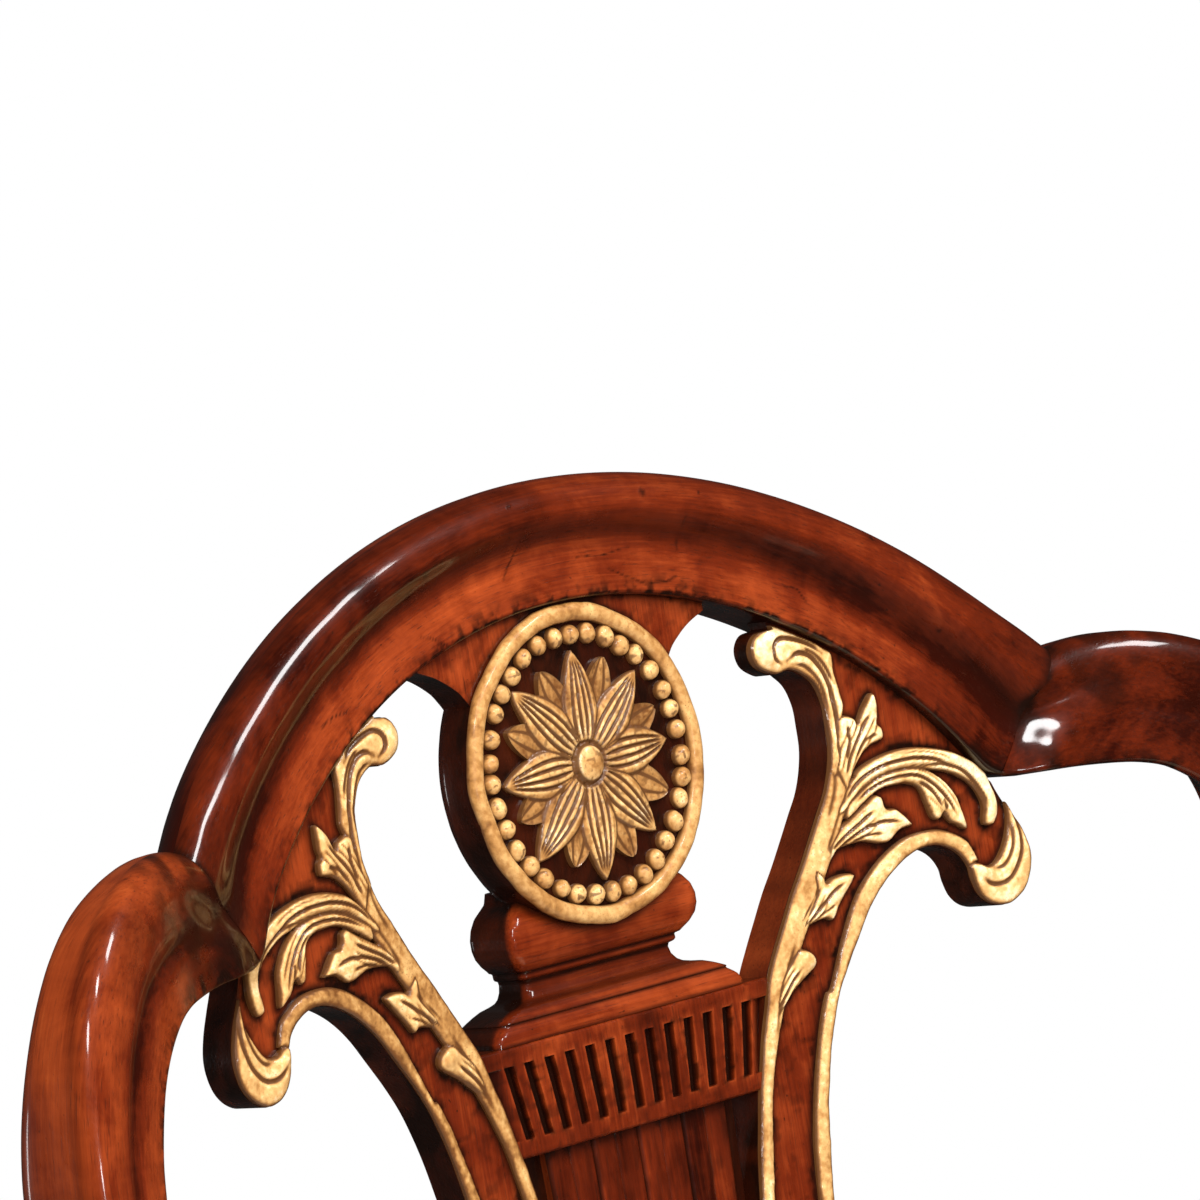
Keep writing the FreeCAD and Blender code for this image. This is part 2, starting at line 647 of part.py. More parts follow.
def post_sections_up(side):
    wires = []
    w, d = val("post_width"), val("post_depth")
    x0, x1, y0, y1 = val("post_x") - w / 2, val("post_x") + w / 2, PF, PF + d
    z = zt + 5.0
    wires.append([(x0, y0, z), (x1, y0, z), (x1, y1, z), (x0, y1, z)])
    for k, (v, uc, width, nf) in enumerate(POST_C[1:]):
        blend = min(1.0, (k + 1) / 5.0)
        ui, uo = uc - width / 2, uc + width / 2
        slope = (interp(CREST_BOW, 301.5) - interp(CREST_BOW, 263.5)) / 38.0
        if v == JOINT_V:
            ni, no = interp(CREST_BOW, 263.5), interp(CREST_BOW, 301.5)
            depth_i = depth_o = val("crest_thick")
            ui, uo = 263.5, 301.5
        else:
            ni, no = nf - blend * slope * width / 2, nf + blend * slope * width / 2
            depth_i = depth_o = val("crest_thick") + (1.0 - blend) * 14.0
        pts = [(ui, ni * SC), (uo, no * SC), (uo, no * SC - depth_o), (ui, ni * SC - depth_i)]
        ring = []
        for u, n in pts:
            p = back_point(u * SC, v * SC, n)
            ring.append((p.x, p.y, p.z))
        wires.append(ring)
    out = []
    for ring in wires:
        pts = [Vector(side * a, b, c) for a, b, c in ring]
        if side < 0:
            pts = [pts[1], pts[0], pts[3], pts[2]]
        out.append(rectangle_wire(pts))
    return out


def post_sections_down(side):
    yc = PF + val("post_depth") / 2
    rows = [(zl - 8.0, 0.0, val("post_width"), val("post_depth")), (300, 3.0, 36.0, 43.0), (200, 13.0, 33.5, 38.0),
            (100, 31.0, 31.5, 34.0), (val("glide_height"), 58.0, 30.0, 31.0)]
    out = []
    for z, back, w, d in rows:
        x = side * val("post_x")
        pts = [Vector(x - w / 2, yc + back - d / 2, z), Vector(x + w / 2, yc + back - d / 2, z),
               Vector(x + w / 2, yc + back + d / 2, z), Vector(x - w / 2, yc + back + d / 2, z)]
        out.append(rectangle_wire(pts))
    return out


# ---------------------------------------------------------------- arms and their supports
ARM_PATH = [(252.0, 170.0, 701.5, 31.0, 26.0), (254.0, 140.0, 704.0, 33.0, 26.5), (264.5, 80.0, 707.0, 38.0, 27.0),
            (281.5, 0.0, 704.5, 42.0, 27.0), (296.0, -80.0, 697.0, 44.0, 27.0), (304.0, -150.0, 688.5, 45.0, 27.0),
            (303.5, -205.0, 681.5, 44.0, 27.0), (301.0, -222.0, 679.5, 36.0, 23.0)]


def oval_ring(center, along, wide, high, side, round_by=9.0):
    """Rounded rectangle square to the run of the arm."""
    run = Vector(*along).normalize()
    across = run.cross(Vector(0, 0, 1)).normalize()
    up = across.cross(run).normalize()
    c = Vector(*center)
    a, b, r = wide / 2.0, high / 2.0, min(round_by, high / 2.0 - 2)
    k = r * (1 - math.sqrt(0.5))
    flat = [(-a + r, -b), (a - r, -b), (a - k, -b + k), (a, -b + r), (a, b - r), (a - k, b - k), (a - r, b), (-a + r, b),
            (-a + k, b - k), (-a, b - r), (-a, -b + r), (-a + k, -b + k)]
    P = [c + across * p + up * q for p, q in flat]
    edges = [
        Part.LineSegment(P[0], P[1]).toShape(), Part.Arc(P[1], P[2], P[3]).toShape(),
        Part.LineSegment(P[3], P[4]).toShape(), Part.Arc(P[4], P[5], P[6]).toShape(),
        Part.LineSegment(P[6], P[7]).toShape(), Part.Arc(P[7], P[8], P[9]).toShape(),
        Part.LineSegment(P[9], P[10]).toShape(), Part.Arc(P[10], P[11], P[0]).toShape(),
    ]
    return Part.Wire(edges)


def sweep_rings(path, side, round_by):
    rings = []
    pts = [(side * p[0], p[1], p[2]) for p in path]
    for i, p in enumerate(path):
        a, b = pts[max(i - 1, 0)], pts[min(i + 1, len(path) - 1)]
        along = (b[0] - a[0], b[1] - a[1], b[2] - a[2])
        rings.append(oval_ring(pts[i], along, p[3], p[4], side, round_by))
    return Part.makeLoft(rings, True, False)


SUP_Y = val("support_y")
SUP_PATH = [(0.0, 0.0, zt, 0.0), (1.5, -2.0, 505.0, 0.15), (7.0, -6.0, 560.0, 0.45), (11.5, -4.0, 615.0, 0.75),
            (12.0, 6.0, 655.0, 1.0), (12.0, 12.0, 700.0, 1.0)]
sup_w, sup_l = val("support_wide"), val("support_long")


def support_shape(side):
    cx = side_x(SUP_Y) + sup_w / 2.0 / COS_S
    rings = []
    for dx, dy, z, t in SUP_PATH:
        w, l = sup_w - 4.0 * t, sup_l - 8.0 * t
        yaw = math.radians(YAW) * (1.0 - 0.3 * t)
        pts = []
        for a, b in ((-w / 2, -l / 2), (w / 2, -l / 2), (w / 2, l / 2), (-w / 2, l / 2)):
            px = cx + dx + a * math.cos(yaw) - b * math.sin(yaw)
            py = SUP_Y + dy + a * math.sin(yaw) + b * math.cos(yaw)
            pts.append(Vector(side * px, py, z))
        if side < 0:
            pts = [pts[1], pts[0], pts[3], pts[2]]
        rings.append(rectangle_wire(pts))
    upper = Part.makeLoft(rings, True, False)
    low = rings[0].copy()
    lower = Part.Face(low).extrude(Vector(0, 0, -57.0))
    return upper.fuse(lower).removeSplitter()


for side, tag in ((1, "right"), (-1, "left")):
    up = Part.makeLoft(post_sections_up(side), True, False)
    down = Part.makeLoft(post_sections_down(side), True, False)
    w, d = val("post_width"), val("post_depth")
    mid = Part.makeBox(w, d, (zt + 5.0) - (zl - 8.0), Vector(side * val("post_x") - w / 2, PF, zl - 8.0))
    solid = up.fuse([mid, down]).removeSplitter()
    arm = sweep_rings(ARM_PATH, side, 9.0)
    arm = arm.cut(solid)
    if len(arm.Solids) > 1:
        arm = sorted(arm.Solids, key=lambda s: s.Volume)[-1]
    arm = Part.Solid(arm.Solids[0]) if arm.Solids else arm
    ax, ay, az = side * 252.0, 138.0, 695.0
    tenon = Part.makeBox(14.0, 32.0, 14.0, Vector(ax - 7.0, ay, az))
    sup = support_shape(side)
    sup = sup.cut(arm)
    sup = sorted(sup.Solids, key=lambda s: s.BoundBox.ZMin)[0]
    cx = side * (side_x(SUP_Y) + sup_w / 2.0 / COS_S + 12.0)
    stub = Part.makeBox(12.0, 16.0, 30.0, Vector(cx - 6.0, SUP_Y + 0.0, 665.0))
    sup = sup.fuse(stub).removeSplitter()
    arm = arm.fuse(tenon).removeSplitter().cut(stub)
    post = feature("post_solid_" + tag, solid)
    tenon_obj = feature("arm_tenon_" + tag, tenon)
    top_tenon = feature("post_top_tenon_" + tag, Part.makeBox(20, 40, 11),
                        BACK.multiply(post_tenons[tag].Placement))
    post_all = fuse("post_all_" + tag, [post, top_tenon])
    post_cut = cuts("rear_post_body_" + tag, post_all, [tenon_obj, TEN["rear_" + tag], TEN["sider_" + tag]])
    node(post_cut, "rear_post_" + tag)
    node(feature("arm_body_" + tag, arm), "arm_" + tag)
    node(feature("arm_support_body_" + tag, sup), "arm_support_" + tag)

# ---------------------------------------------------------------- corner blocks and fasteners
th = val("rail_thick")
FR_IN = val("front_rail_y") + th
RR_IN = val("rear_rail_front_y")
for side, tag in ((1, "right"), (-1, "left")):
    xl = val("leg_x") - val("leg_block") / 2
    fpts = [(180, FR_IN), (xl, FR_IN), (xl, LEG_BACK), (side_x(LEG_BACK, th), LEG_BACK), (side_x(-195, th), -195)]
    rpts = [(135, RR_IN), (RH, RR_IN), (RH, PF), (side_x(PF, th), PF), (side_x(62, th), 62)]
    for pts, where in ((fpts, "front"), (rpts, "rear")):
        pts = [(side * a, b) for a, b in pts]
        blk = prism("block_%s_%s" % (where, tag), pts, "dims.block_low", "dims.block_high")
        node(blk, "corner_block_%s_%s" % (where, tag))


def screw(start, direction, length):
    """Countersunk wood screw whose head sits at its start."""
    r, rh_ = val("screw_radius"), val("screw_head_radius")
    d = Vector(*direction).normalize()
    head = Part.makeCone(rh_, r, 3.5, start, d)
    shank = Part.makeCylinder(r, length - 8.0, start + d * 3.5, d)
    tip = Part.makeCone(r, 0.4, 4.5, start + d * (length - 4.5), d)
    return head.fuse([shank, tip]).removeSplitter()


bz = val("block_low") + val("block_high") / 2
block_screws = []
for side in (1, -1):
    block_screws.append(screw(Vector(side * 205, FR_IN + 16.0, bz), (0, -1, 0), 38))
    block_screws.append(screw(Vector(side * (side_x(-215, th) - 14.0), -215, bz), (side, 0, 0), 36))
    block_screws.append(screw(Vector(side * 160, RR_IN - 18.0, bz), (0, 1, 0), 40))
    block_screws.append(screw(Vector(side * (side_x(88, th) - 16.0), 88, bz), (side, 0, 0), 38))
node(feature("block_screw_group", Part.makeCompound(block_screws)), "corner_block_screws")

support_screws, arm_screws = [], []
normal = Vector(COS_S, SLOPE * COS_S, 0)
for side in (1, -1):
    for dz in (18.0, 40.0):
        d = Vector(side * normal.x, normal.y, 0)
        support_screws.append(screw(Vector(side * side_x(SUP_Y, th), SUP_Y, zl + dz), (d.x, d.y, 0), 46))
    arm_screws.append(screw(Vector(side * 252.0, 175.5, 702.0), (0, -1, 0), 62))
node(feature("support_screw_group", Part.makeCompound(support_screws)), "arm_support_screws")
node(feature("arm_screw_group", Part.makeCompound(arm_screws)), "arm_screws")

# ---------------------------------------------------------------- drop-in seat
ci = val("seat_clear")
bar = val("seat_bar")
lz = val("ledge_z")
yf, yr, yn = WELL_FRONT + ci, WELL_REAR - ci, PF - ci
sx = lambda y, extra=0.0: side_x(y, lip + ci + extra)
bt = val("seat_bar_thick")
st_size = ("30", "24", "6")
SEAT_TEN = []
for side in (1, -1):
    for yy in (yf + bar - 24.0, yr - bar):
        cx = sx(yy, bar / 2.0)
        SEAT_TEN.append(box("seat_tenon_%d" % len(SEAT_TEN), st_size, xyz(side * cx - 15.0, yy, lz + 6.0)))
fr = [(-sx(yf), yf), (sx(yf), yf), (sx(yf + bar), yf + bar), (-sx(yf + bar), yf + bar)]
seat_front = prism("seat_front_bar", fr, "dims.ledge_z", "dims.seat_bar_thick")
node(cuts("seat_front_cut", seat_front, [SEAT_TEN[0], SEAT_TEN[2]]), "seat_frame_front")
y2 = yr - bar
rr = [(-sx(y2), y2), (sx(y2), y2), (sx(yn), yn), (RH - ci, yn), (RH - ci, yr), (-RH + ci, yr), (-RH + ci, yn), (-sx(yn), yn)]
seat_rear = prism("seat_rear_bar", rr, "dims.ledge_z", "dims.seat_bar_thick")
node(cuts("seat_rear_cut", seat_rear, [SEAT_TEN[1], SEAT_TEN[3]]), "seat_frame_rear")
for side, tag, tens in ((1, "right", SEAT_TEN[0:2]), (-1, "left", SEAT_TEN[2:4])):
    y1 = yf + bar
    pts = [(sx(y1), y1), (sx(y2), y2), (sx(y2, bar), y2), (sx(y1, bar), y1)]
    pts = [(side * a, b) for a, b in pts]
    sb = prism("seat_side_bar_" + tag, pts, "dims.ledge_z", "dims.seat_bar_thick")
    node(fuse("seat_side_all_" + tag, [sb] + tens), "seat_frame_" + tag)

wz = lz + bt
wt, ww = val("web_thick"), val("web_wide")
straps = []
for x in (-142.0, -47.0, 47.0, 142.0):
    straps.append(Part.makeBox(ww, (yr - 14) - (yf + 14), wt, Vector(x - ww / 2, yf + 14, wz)))
for y in (-218.0, -132.0, -46.0, 40.0):
    half = side_x(y + ww / 2, lip + ci + 12)
    straps.append(Part.makeBox(2 * half, ww, wt, Vector(-half, y - ww / 2, wz + wt)))
web = straps[0].fuse(straps[1:]).removeSplitter()
node(feature("webbing", web), "seat_webbing")

pad_low = wz + 2 * wt
pad_pts = seat_outline(ci + 0.5)
pad = doc.addObject("PartDesign::Body", "pad_body")
psk = polygon_sketch(pad, "pad_sketch", "XY_Plane", pad_pts, "dims.ledge_z + dims.seat_bar_thick + 2 * dims.web_thick")
ppad = pad.newObject("PartDesign::Pad", "pad_pad")
ppad.Profile = psk
ppad.setExpression("Length", "dims.pad_height")
pad.Tip = ppad
doc.recompute()
top_edges = []
for i, e in enumerate(ppad.Shape.Edges, start=1):
    if all(abs(vx.Z - (pad_low + val("pad_height"))) < 1e-6 for vx in e.Vertexes):
        top_edges.append("Edge%d" % i)
pch = pad.newObject("PartDesign::Chamfer", "pad_chamfer")
pch.Base = (ppad, top_edges)
pch.setExpression("Size", "dims.pad_round")
pad.Tip = pch
node(pad, "seat_pad")

cover_out = prism("cover_out", seat_outline(ci - 1.5), "dims.ledge_z + 2", "dims.seat_bar_thick + dims.web_thick * 2 + dims.pad_height")
cover_in = prism("cover_in", seat_outline(ci - 0.3), "dims.ledge_z - 10",
                 "12 + dims.seat_bar_thick + dims.web_thick * 2 + dims.pad_height - dims.cover_thick + 0.2")
cover = cut("cover_shell", cover_out, cover_in)
node(cover, "seat_cover")

# the cloth is cut off at the two front corners to clear the leg blocks
plain = seat_outline(18.0)
corner_x, corner_y = plain[1]
back_off = val("dust_corner_cut")
corner = [(corner_x - back_off, corner_y), (side_x(corner_y + back_off, lip + 18.0), corner_y + back_off)]
dust = prism("dust_body", [(-a, b) for a, b in corner[::-1]] + corner + plain[2:], "dims.ledge_z - dims.dust_thick", "dims.dust_thick")
node(dust, "seat_dust_cover")

tacks = []
tr, tp, tl = val("tack_head_radius"), val("tack_pin_radius"), val("tack_pin_length")
tack_spots = []
for x in (-210, -140, -70, 0, 70, 140, 210):
    tack_spots.append((x, WELL_FRONT + 26.0))
for x in (-150, -75, 0, 75, 150):
    tack_spots.append((x, WELL_REAR - 26.0))
for y in (-210.0, -150.0, -90.0, -30.0, 30.0, 80.0):
    for side in (1, -1):
        tack_spots.append((side * side_x(y, lip + 26.0), y))
for x, y in tack_spots:
    z = lz - val("dust_thick")
    head = Part.makeCylinder(tr, 0.9, Vector(x, y, z - 0.9))
    pin = Part.makeCylinder(tp, tl, Vector(x, y, z - 0.2))
    tacks.append(head.fuse(pin).removeSplitter())
node(feature("tack_group", Part.makeCompound(tacks)), "dust_cover_tacks")

# ---------------------------------------------------------------- glides under the feet
gh, gr = val("glide_height"), val("glide_radius")
rear_y = PF + val("post_depth") / 2 + 58.0
glides = []
for x, y in ((val("leg_x"), val("leg_y")), (-val("leg_x"), val("leg_y")), (val("post_x"), rear_y), (-val("post_x"), rear_y)):
    disc = Part.makeCylinder(gr, gh, Vector(x, y, 0))
    rim = [e for e in disc.Edges if abs(e.BoundBox.ZMax) < 1e-6 and e.BoundBox.XLength > 1]
    glides.append(disc.makeFillet(2.0, rim))
node(feature("glide_group", Part.makeCompound(glides)), "floor_glides")

doc.recompute()

# ---------------------------------------------------------------- check and write
bad = []
for obj in doc.Objects:
    if any(s in ("Invalid", "Error") for s in obj.State):
        bad.append("%s is %s" % (obj.Name, obj.State))
for obj, label in NODES:
    shape = obj.Shape
    if shape.isNull() or not shape.isValid() or not shape.Solids:
        bad.append("%s has no valid shape" % label)
if bad:
    raise RuntimeError("; ".join(bad))
os.makedirs("parts", exist_ok=True)
total = FreeCAD.BoundBox()
for obj, label in NODES:
    shape = obj.Shape
    total.add(shape.BoundBox)
    shape.exportStep("parts/%s.step" % label)
    print("%-26s solids %2d  volume %10.0f  z %7.1f %7.1f" % (
        label, len(shape.Solids), shape.Volume, shape.BoundBox.ZMin, shape.BoundBox.ZMax))
print("nodes", len(NODES))
print("box", total)
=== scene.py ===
import math

import bmesh
import bpy
import numpy as np
from mathutils import Matrix, Vector


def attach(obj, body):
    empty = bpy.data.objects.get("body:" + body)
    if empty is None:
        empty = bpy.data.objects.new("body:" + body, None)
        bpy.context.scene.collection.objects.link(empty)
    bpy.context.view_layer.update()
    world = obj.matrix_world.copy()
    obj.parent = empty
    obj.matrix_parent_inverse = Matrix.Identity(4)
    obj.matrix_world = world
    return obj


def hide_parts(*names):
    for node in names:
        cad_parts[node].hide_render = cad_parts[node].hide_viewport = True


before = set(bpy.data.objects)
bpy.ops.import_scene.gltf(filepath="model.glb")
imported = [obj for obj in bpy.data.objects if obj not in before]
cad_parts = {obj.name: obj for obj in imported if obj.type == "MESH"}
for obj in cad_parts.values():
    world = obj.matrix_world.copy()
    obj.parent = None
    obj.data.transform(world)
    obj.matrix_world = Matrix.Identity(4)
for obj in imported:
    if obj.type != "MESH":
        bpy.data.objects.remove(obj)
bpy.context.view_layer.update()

# ------------------------------------------------------------------ the frame of the raked back
SC = 0.95                      # millimetres for one step of the drawn outlines
RAKE = math.radians(13.34)
SR, CR = math.sin(RAKE), math.cos(RAKE)
MED_Y, MED_Z = 258.22, 930.0


def back(u, v, n):
    """Points of the back (u across, v up the rake, n forward; mm) in the row frame, metres."""
    u, v, n = (np.asarray(a, float) for a in (u, v, n))
    u, v, n = np.broadcast_arrays(u, v, n)
    return np.stack([u, MED_Y + v * SR - n * CR, MED_Z + v * CR + n * SR], -1) * 1e-3


# ------------------------------------------------------------------ small numeric tools
def table(rows, x):
    rows = np.asarray(rows, float)
    return np.interp(np.abs(x), rows[:, 0], rows[:, 1])


def spline(points, count, closed=False):
    """Catmull-Rom curve through points, count samples."""
    p = np.asarray(points, float)
    if closed:
        p = np.vstack([p[-1], p, p[0], p[1]])
    else:
        p = np.vstack([2 * p[0] - p[1], p, 2 * p[-1] - p[-2]])
    seg = len(p) - 3
    t = np.linspace(0, seg, count, endpoint=not closed)
    i = np.minimum(t.astype(int), seg - 1)
    f = (t - i)[:, None]
    a, b, c, d = p[i], p[i + 1], p[i + 2], p[i + 3]
    return 0.5 * (2 * b + (c - a) * f + (2 * a - 5 * b + 4 * c - d) * f ** 2 + (3 * b - a - 3 * c + d) * f ** 3)


def even(points, count, closed=False):
    """A line sampled at even steps of its length."""
    p = np.asarray(points, float)
    if closed:
        p = np.vstack([p, p[:1]])
    s = np.concatenate([[0], np.cumsum(np.linalg.norm(np.diff(p, axis=0), axis=1))])
    t = np.linspace(0, s[-1], count, endpoint=not closed)
    return np.stack([np.interp(t, s, p[:, k]) for k in range(p.shape[1])], 1)


def line_distance(P, line, signed=False):
    """Distance of points to an open line, where along it (0 to 1) the nearest place is, and if asked on which hand."""
    line = np.asarray(line, float)
    best = np.full(len(P), 1e9)
    where = np.zeros(len(P))
    hand = np.ones(len(P))
    a, b = line[:-1], line[1:]
    e = b - a
    le = np.maximum((e * e).sum(1), 1e-12)
    for k in range(len(a)):
        w = P - a[k]
        t = np.clip((w @ e[k]) / le[k], 0, 1)
        d = np.hypot(w[:, 0] - t * e[k, 0], w[:, 1] - t * e[k, 1])
        m = d < best
        best[m] = d[m]
        where[m] = (k + t[m]) / len(a)
        hand[m] = np.sign(e[k, 0] * w[m, 1] - e[k, 1] * w[m, 0])
    return (best, where, hand) if signed else (best, where)


def inside_distance(P, poly):
    """Signed distance to a closed outline, positive inside."""
    poly = np.asarray(poly, float)
    lo, hi = poly.min(0) - 6.0, poly.max(0) + 6.0
    out = np.full(len(P), -6.0)
    m = ((P >= lo) & (P <= hi)).all(1)
    Q = P[m]
    if not len(Q):
        return out
    best = np.full(len(Q), 1e9)
    odd = np.zeros(len(Q), bool)
    a = poly
    b = np.roll(poly, -1, axis=0)
    for k in range(len(a)):
        e = b[k] - a[k]
        w = Q - a[k]
        t = np.clip((w @ e) / max(e @ e, 1e-12), 0, 1)
        d = (w[:, 0] - t * e[0]) ** 2 + (w[:, 1] - t * e[1]) ** 2
        np.minimum(best, d, out=best)
        if a[k, 1] != b[k, 1]:
            cross = (a[k, 1] > Q[:, 1]) != (b[k, 1] > Q[:, 1])
            x = a[k, 0] + (Q[:, 1] - a[k, 1]) * e[0] / e[1]
            odd ^= cross & (Q[:, 0] < x)
    d = np.sqrt(best)
    out[m] = np.where(odd, d, -d)
    return out


def hash3(i, j, k, seed):
    h = (i * 374761393 + j * 668265263 + k * 2147483647 + seed * 1274126177) & 0xFFFFFFFF
    h = ((h ^ (h >> 13)) * 1274126177) & 0xFFFFFFFF
    return ((h ^ (h >> 16)) & 0xFFFF) / 65535.0


def vnoise(P, scale, seed=0):
    """Smooth value noise from 0 to 1 at points given in mm; scale is in mm."""
    q = np.asarray(P, float) / scale
    if q.shape[1] == 2:
        q = np.column_stack([q, np.zeros(len(q))])
    i = np.floor(q).astype(np.int64)
    f = q - i
    f = f * f * (3 - 2 * f)
    total = np.zeros(len(q))
    for dx in (0, 1):
        for dy in (0, 1):
            for dz in (0, 1):
                w = (f[:, 0] if dx else 1 - f[:, 0]) * (f[:, 1] if dy else 1 - f[:, 1]) * (f[:, 2] if dz else 1 - f[:, 2])
                total += w * hash3(i[:, 0] + dx, i[:, 1] + dy, i[:, 2] + dz, seed)
    return total


def sstep(a, b, x):
    t = np.clip((np.asarray(x, float) - a) / (b - a), 0, 1)
    return t * t * (3 - 2 * t)


# ------------------------------------------------------------------ meshes
class Shape:
    """Vertices, faces and painted values of a piece while it is put together."""

    def __init__(self):
        self.co, self.quads, self.tris, self.gr, self.dirt, self.hi = [], [], [], [], [], []
        self.count = 0

    def add(self, co, quads=(), tris=(), gr=None, dirt=None, hi=None):
        co = np.asarray(co, float).reshape(-1, 3)
        n = len(co)
        self.co.append(co)
        q = np.asarray(quads, int).reshape(-1, 4)
        t = np.asarray(tris, int).reshape(-1, 3)
        self.quads.append(q + self.count)
        self.tris.append(t + self.count)
        self.gr.append(np.asarray(gr, float).reshape(-1, 3) if gr is not None else co.copy())
        self.dirt.append(np.broadcast_to(np.asarray(0.0 if dirt is None else dirt, float), (n,)).copy())
        self.hi.append(np.broadcast_to(np.asarray(0.0 if hi is None else hi, float), (n,)).copy())
        self.count += n

    def arrays(self):
        return (np.vstack(self.co), np.vstack(self.quads), np.vstack(self.tris), np.vstack(self.gr),
                np.concatenate(self.dirt), np.concatenate(self.hi))

    def object(self, name, material, mirror=False, sharp=45.0, shade=0.0):
        co, quads, tris, gr, dirt, hi = self.arrays()
        if mirror:
            co = co * np.array([-1.0, 1.0, 1.0])
            gr = gr * np.array([1.0, 1.0, -1.0]) + np.array([0.413, 0.0, 0.271])
            quads, tris = quads[:, ::-1], tris[:, ::-1]
        me = bpy.data.meshes.new(name)
        me.vertices.add(len(co))
        me.vertices.foreach_set("co", co.astype(np.float32).ravel())
        loops = np.concatenate([quads.ravel(), tris.ravel()]).astype(np.int32)
        me.loops.add(len(loops))
        me.loops.foreach_set("vertex_index", loops)
        starts = np.concatenate([np.arange(len(quads)) * 4, quads.size + np.arange(len(tris)) * 3]).astype(np.int32)
        me.polygons.add(len(starts))
        me.polygons.foreach_set("loop_start", starts)
        me.update(calc_edges=True)
        me.validate()
        me.polygons.foreach_set("use_smooth", np.ones(len(me.polygons), bool))
        if len(me.vertices) == len(co):
            a = me.attributes.new("gr", "FLOAT_VECTOR", "POINT")
            a.data.foreach_set("vector", gr.astype(np.float32).ravel())
            # this attribute darkens the colour: real glaze and grime, and also painted shade in hollows, grooves,
            # creases and corners
            a = me.attributes.new("dirt", "FLOAT", "POINT")
            a.data.foreach_set("value", np.clip(dirt, 0, 1).astype(np.float32))
            a = me.attributes.new("hi", "FLOAT", "POINT")
            a.data.foreach_set("value", np.clip(hi + shade, -1, 1).astype(np.float32))
        me.set_sharp_from_angle(angle=math.radians(sharp))
        me.materials.append(material)
        ob = bpy.data.objects.new(name, me)
        bpy.context.scene.collection.objects.link(ob)
        return ob


def grid_quads(rows, cols, wrap=False):
    """Quads of a rows by cols grid of vertices; wrap joins the last column to the first."""
    i, j = np.meshgrid(np.arange(rows - 1), np.arange(cols if wrap else cols - 1), indexing="ij")
    j2 = (j + 1) % cols
    return np.stack([i * cols + j, (i + 1) * cols + j, (i + 1) * cols + j2, i * cols + j2], -1).reshape(-1, 4)


def relief(sdf, top, low, box, pitch):
    """A carved plate: the outline sdf = 0 filled with a fine grid; top and low are not used.
    Returns P, its distances to the outline, quads, tris of the upper face and its rim edges."""
    u0, v0, u1, v1 = box
    nu, nv = int(math.ceil((u1 - u0) / pitch)) + 1, int(math.ceil((v1 - v0) / pitch)) + 1
    U, V = np.meshgrid(u0 + np.arange(nu) * pitch, v0 + np.arange(nv) * pitch, indexing="ij")
    P = np.stack([U.ravel(), V.ravel()], 1)
    d = sdf(P)
    near = np.abs(d) < 0.56 * pitch
    Q = P[near].copy()
    e = 0.08 * pitch
    for _ in range(3):
        dq = sdf(Q)
        gx = (sdf(Q + [e, 0]) - sdf(Q - [e, 0])) / (2 * e)
        gy = (sdf(Q + [0, e]) - sdf(Q - [0, e])) / (2 * e)
        g2 = np.maximum(gx * gx + gy * gy, 0.25)
        step = np.clip(dq / g2, -0.5 * pitch, 0.5 * pitch)
        Q[:, 0] -= step * gx
        Q[:, 1] -= step * gy
    off = np.linalg.norm(Q - P[near], axis=1)
    good = off < 0.8 * pitch
    idx = np.nonzero(near)[0][good]
    P[idx] = Q[good]
    d[idx] = 0.0
    ok = d >= 0
    i, j = np.meshgrid(np.arange(nu - 1), np.arange(nv - 1), indexing="ij")
    a = (i * nv + j).ravel()
    cell = np.stack([a, a + nv, a + nv + 1, a + 1], 1)
    inn = ok[cell]
    full = cell[inn.all(1)]
    mid = P[full].mean(1)
    full = full[sdf(mid) > 0] if len(full) else full
    three = cell[inn.sum(1) == 3]
    miss = np.argmin(ok[three], 1)
    tri = np.stack([three[np.arange(len(three)), (miss + k) % 4] for k in (1, 2, 3)], 1)
    tri = tri[sdf(P[tri].mean(1)) > 0] if len(tri) else tri
    used = np.zeros(len(P), bool)
    used[full.ravel()] = True
    used[tri.ravel()] = True
    new = -np.ones(len(P), int)
    new[used] = np.arange(used.sum())
    P, d = P[used], d[used]
    full, tri = new[full], new[tri]
    edges = np.concatenate([np.stack([full[:, k], full[:, (k + 1) % 4]], 1) for k in range(4)]
                           + [np.stack([tri[:, k], tri[:, (k + 1) % 3]], 1) for k in range(3)])
    n = len(P)
    key = edges[:, 0] * n + edges[:, 1]
    twin = edges[:, 1] * n + edges[:, 0]
    rim = edges[~np.isin(key, twin)]
    return P, d, full, tri, rim


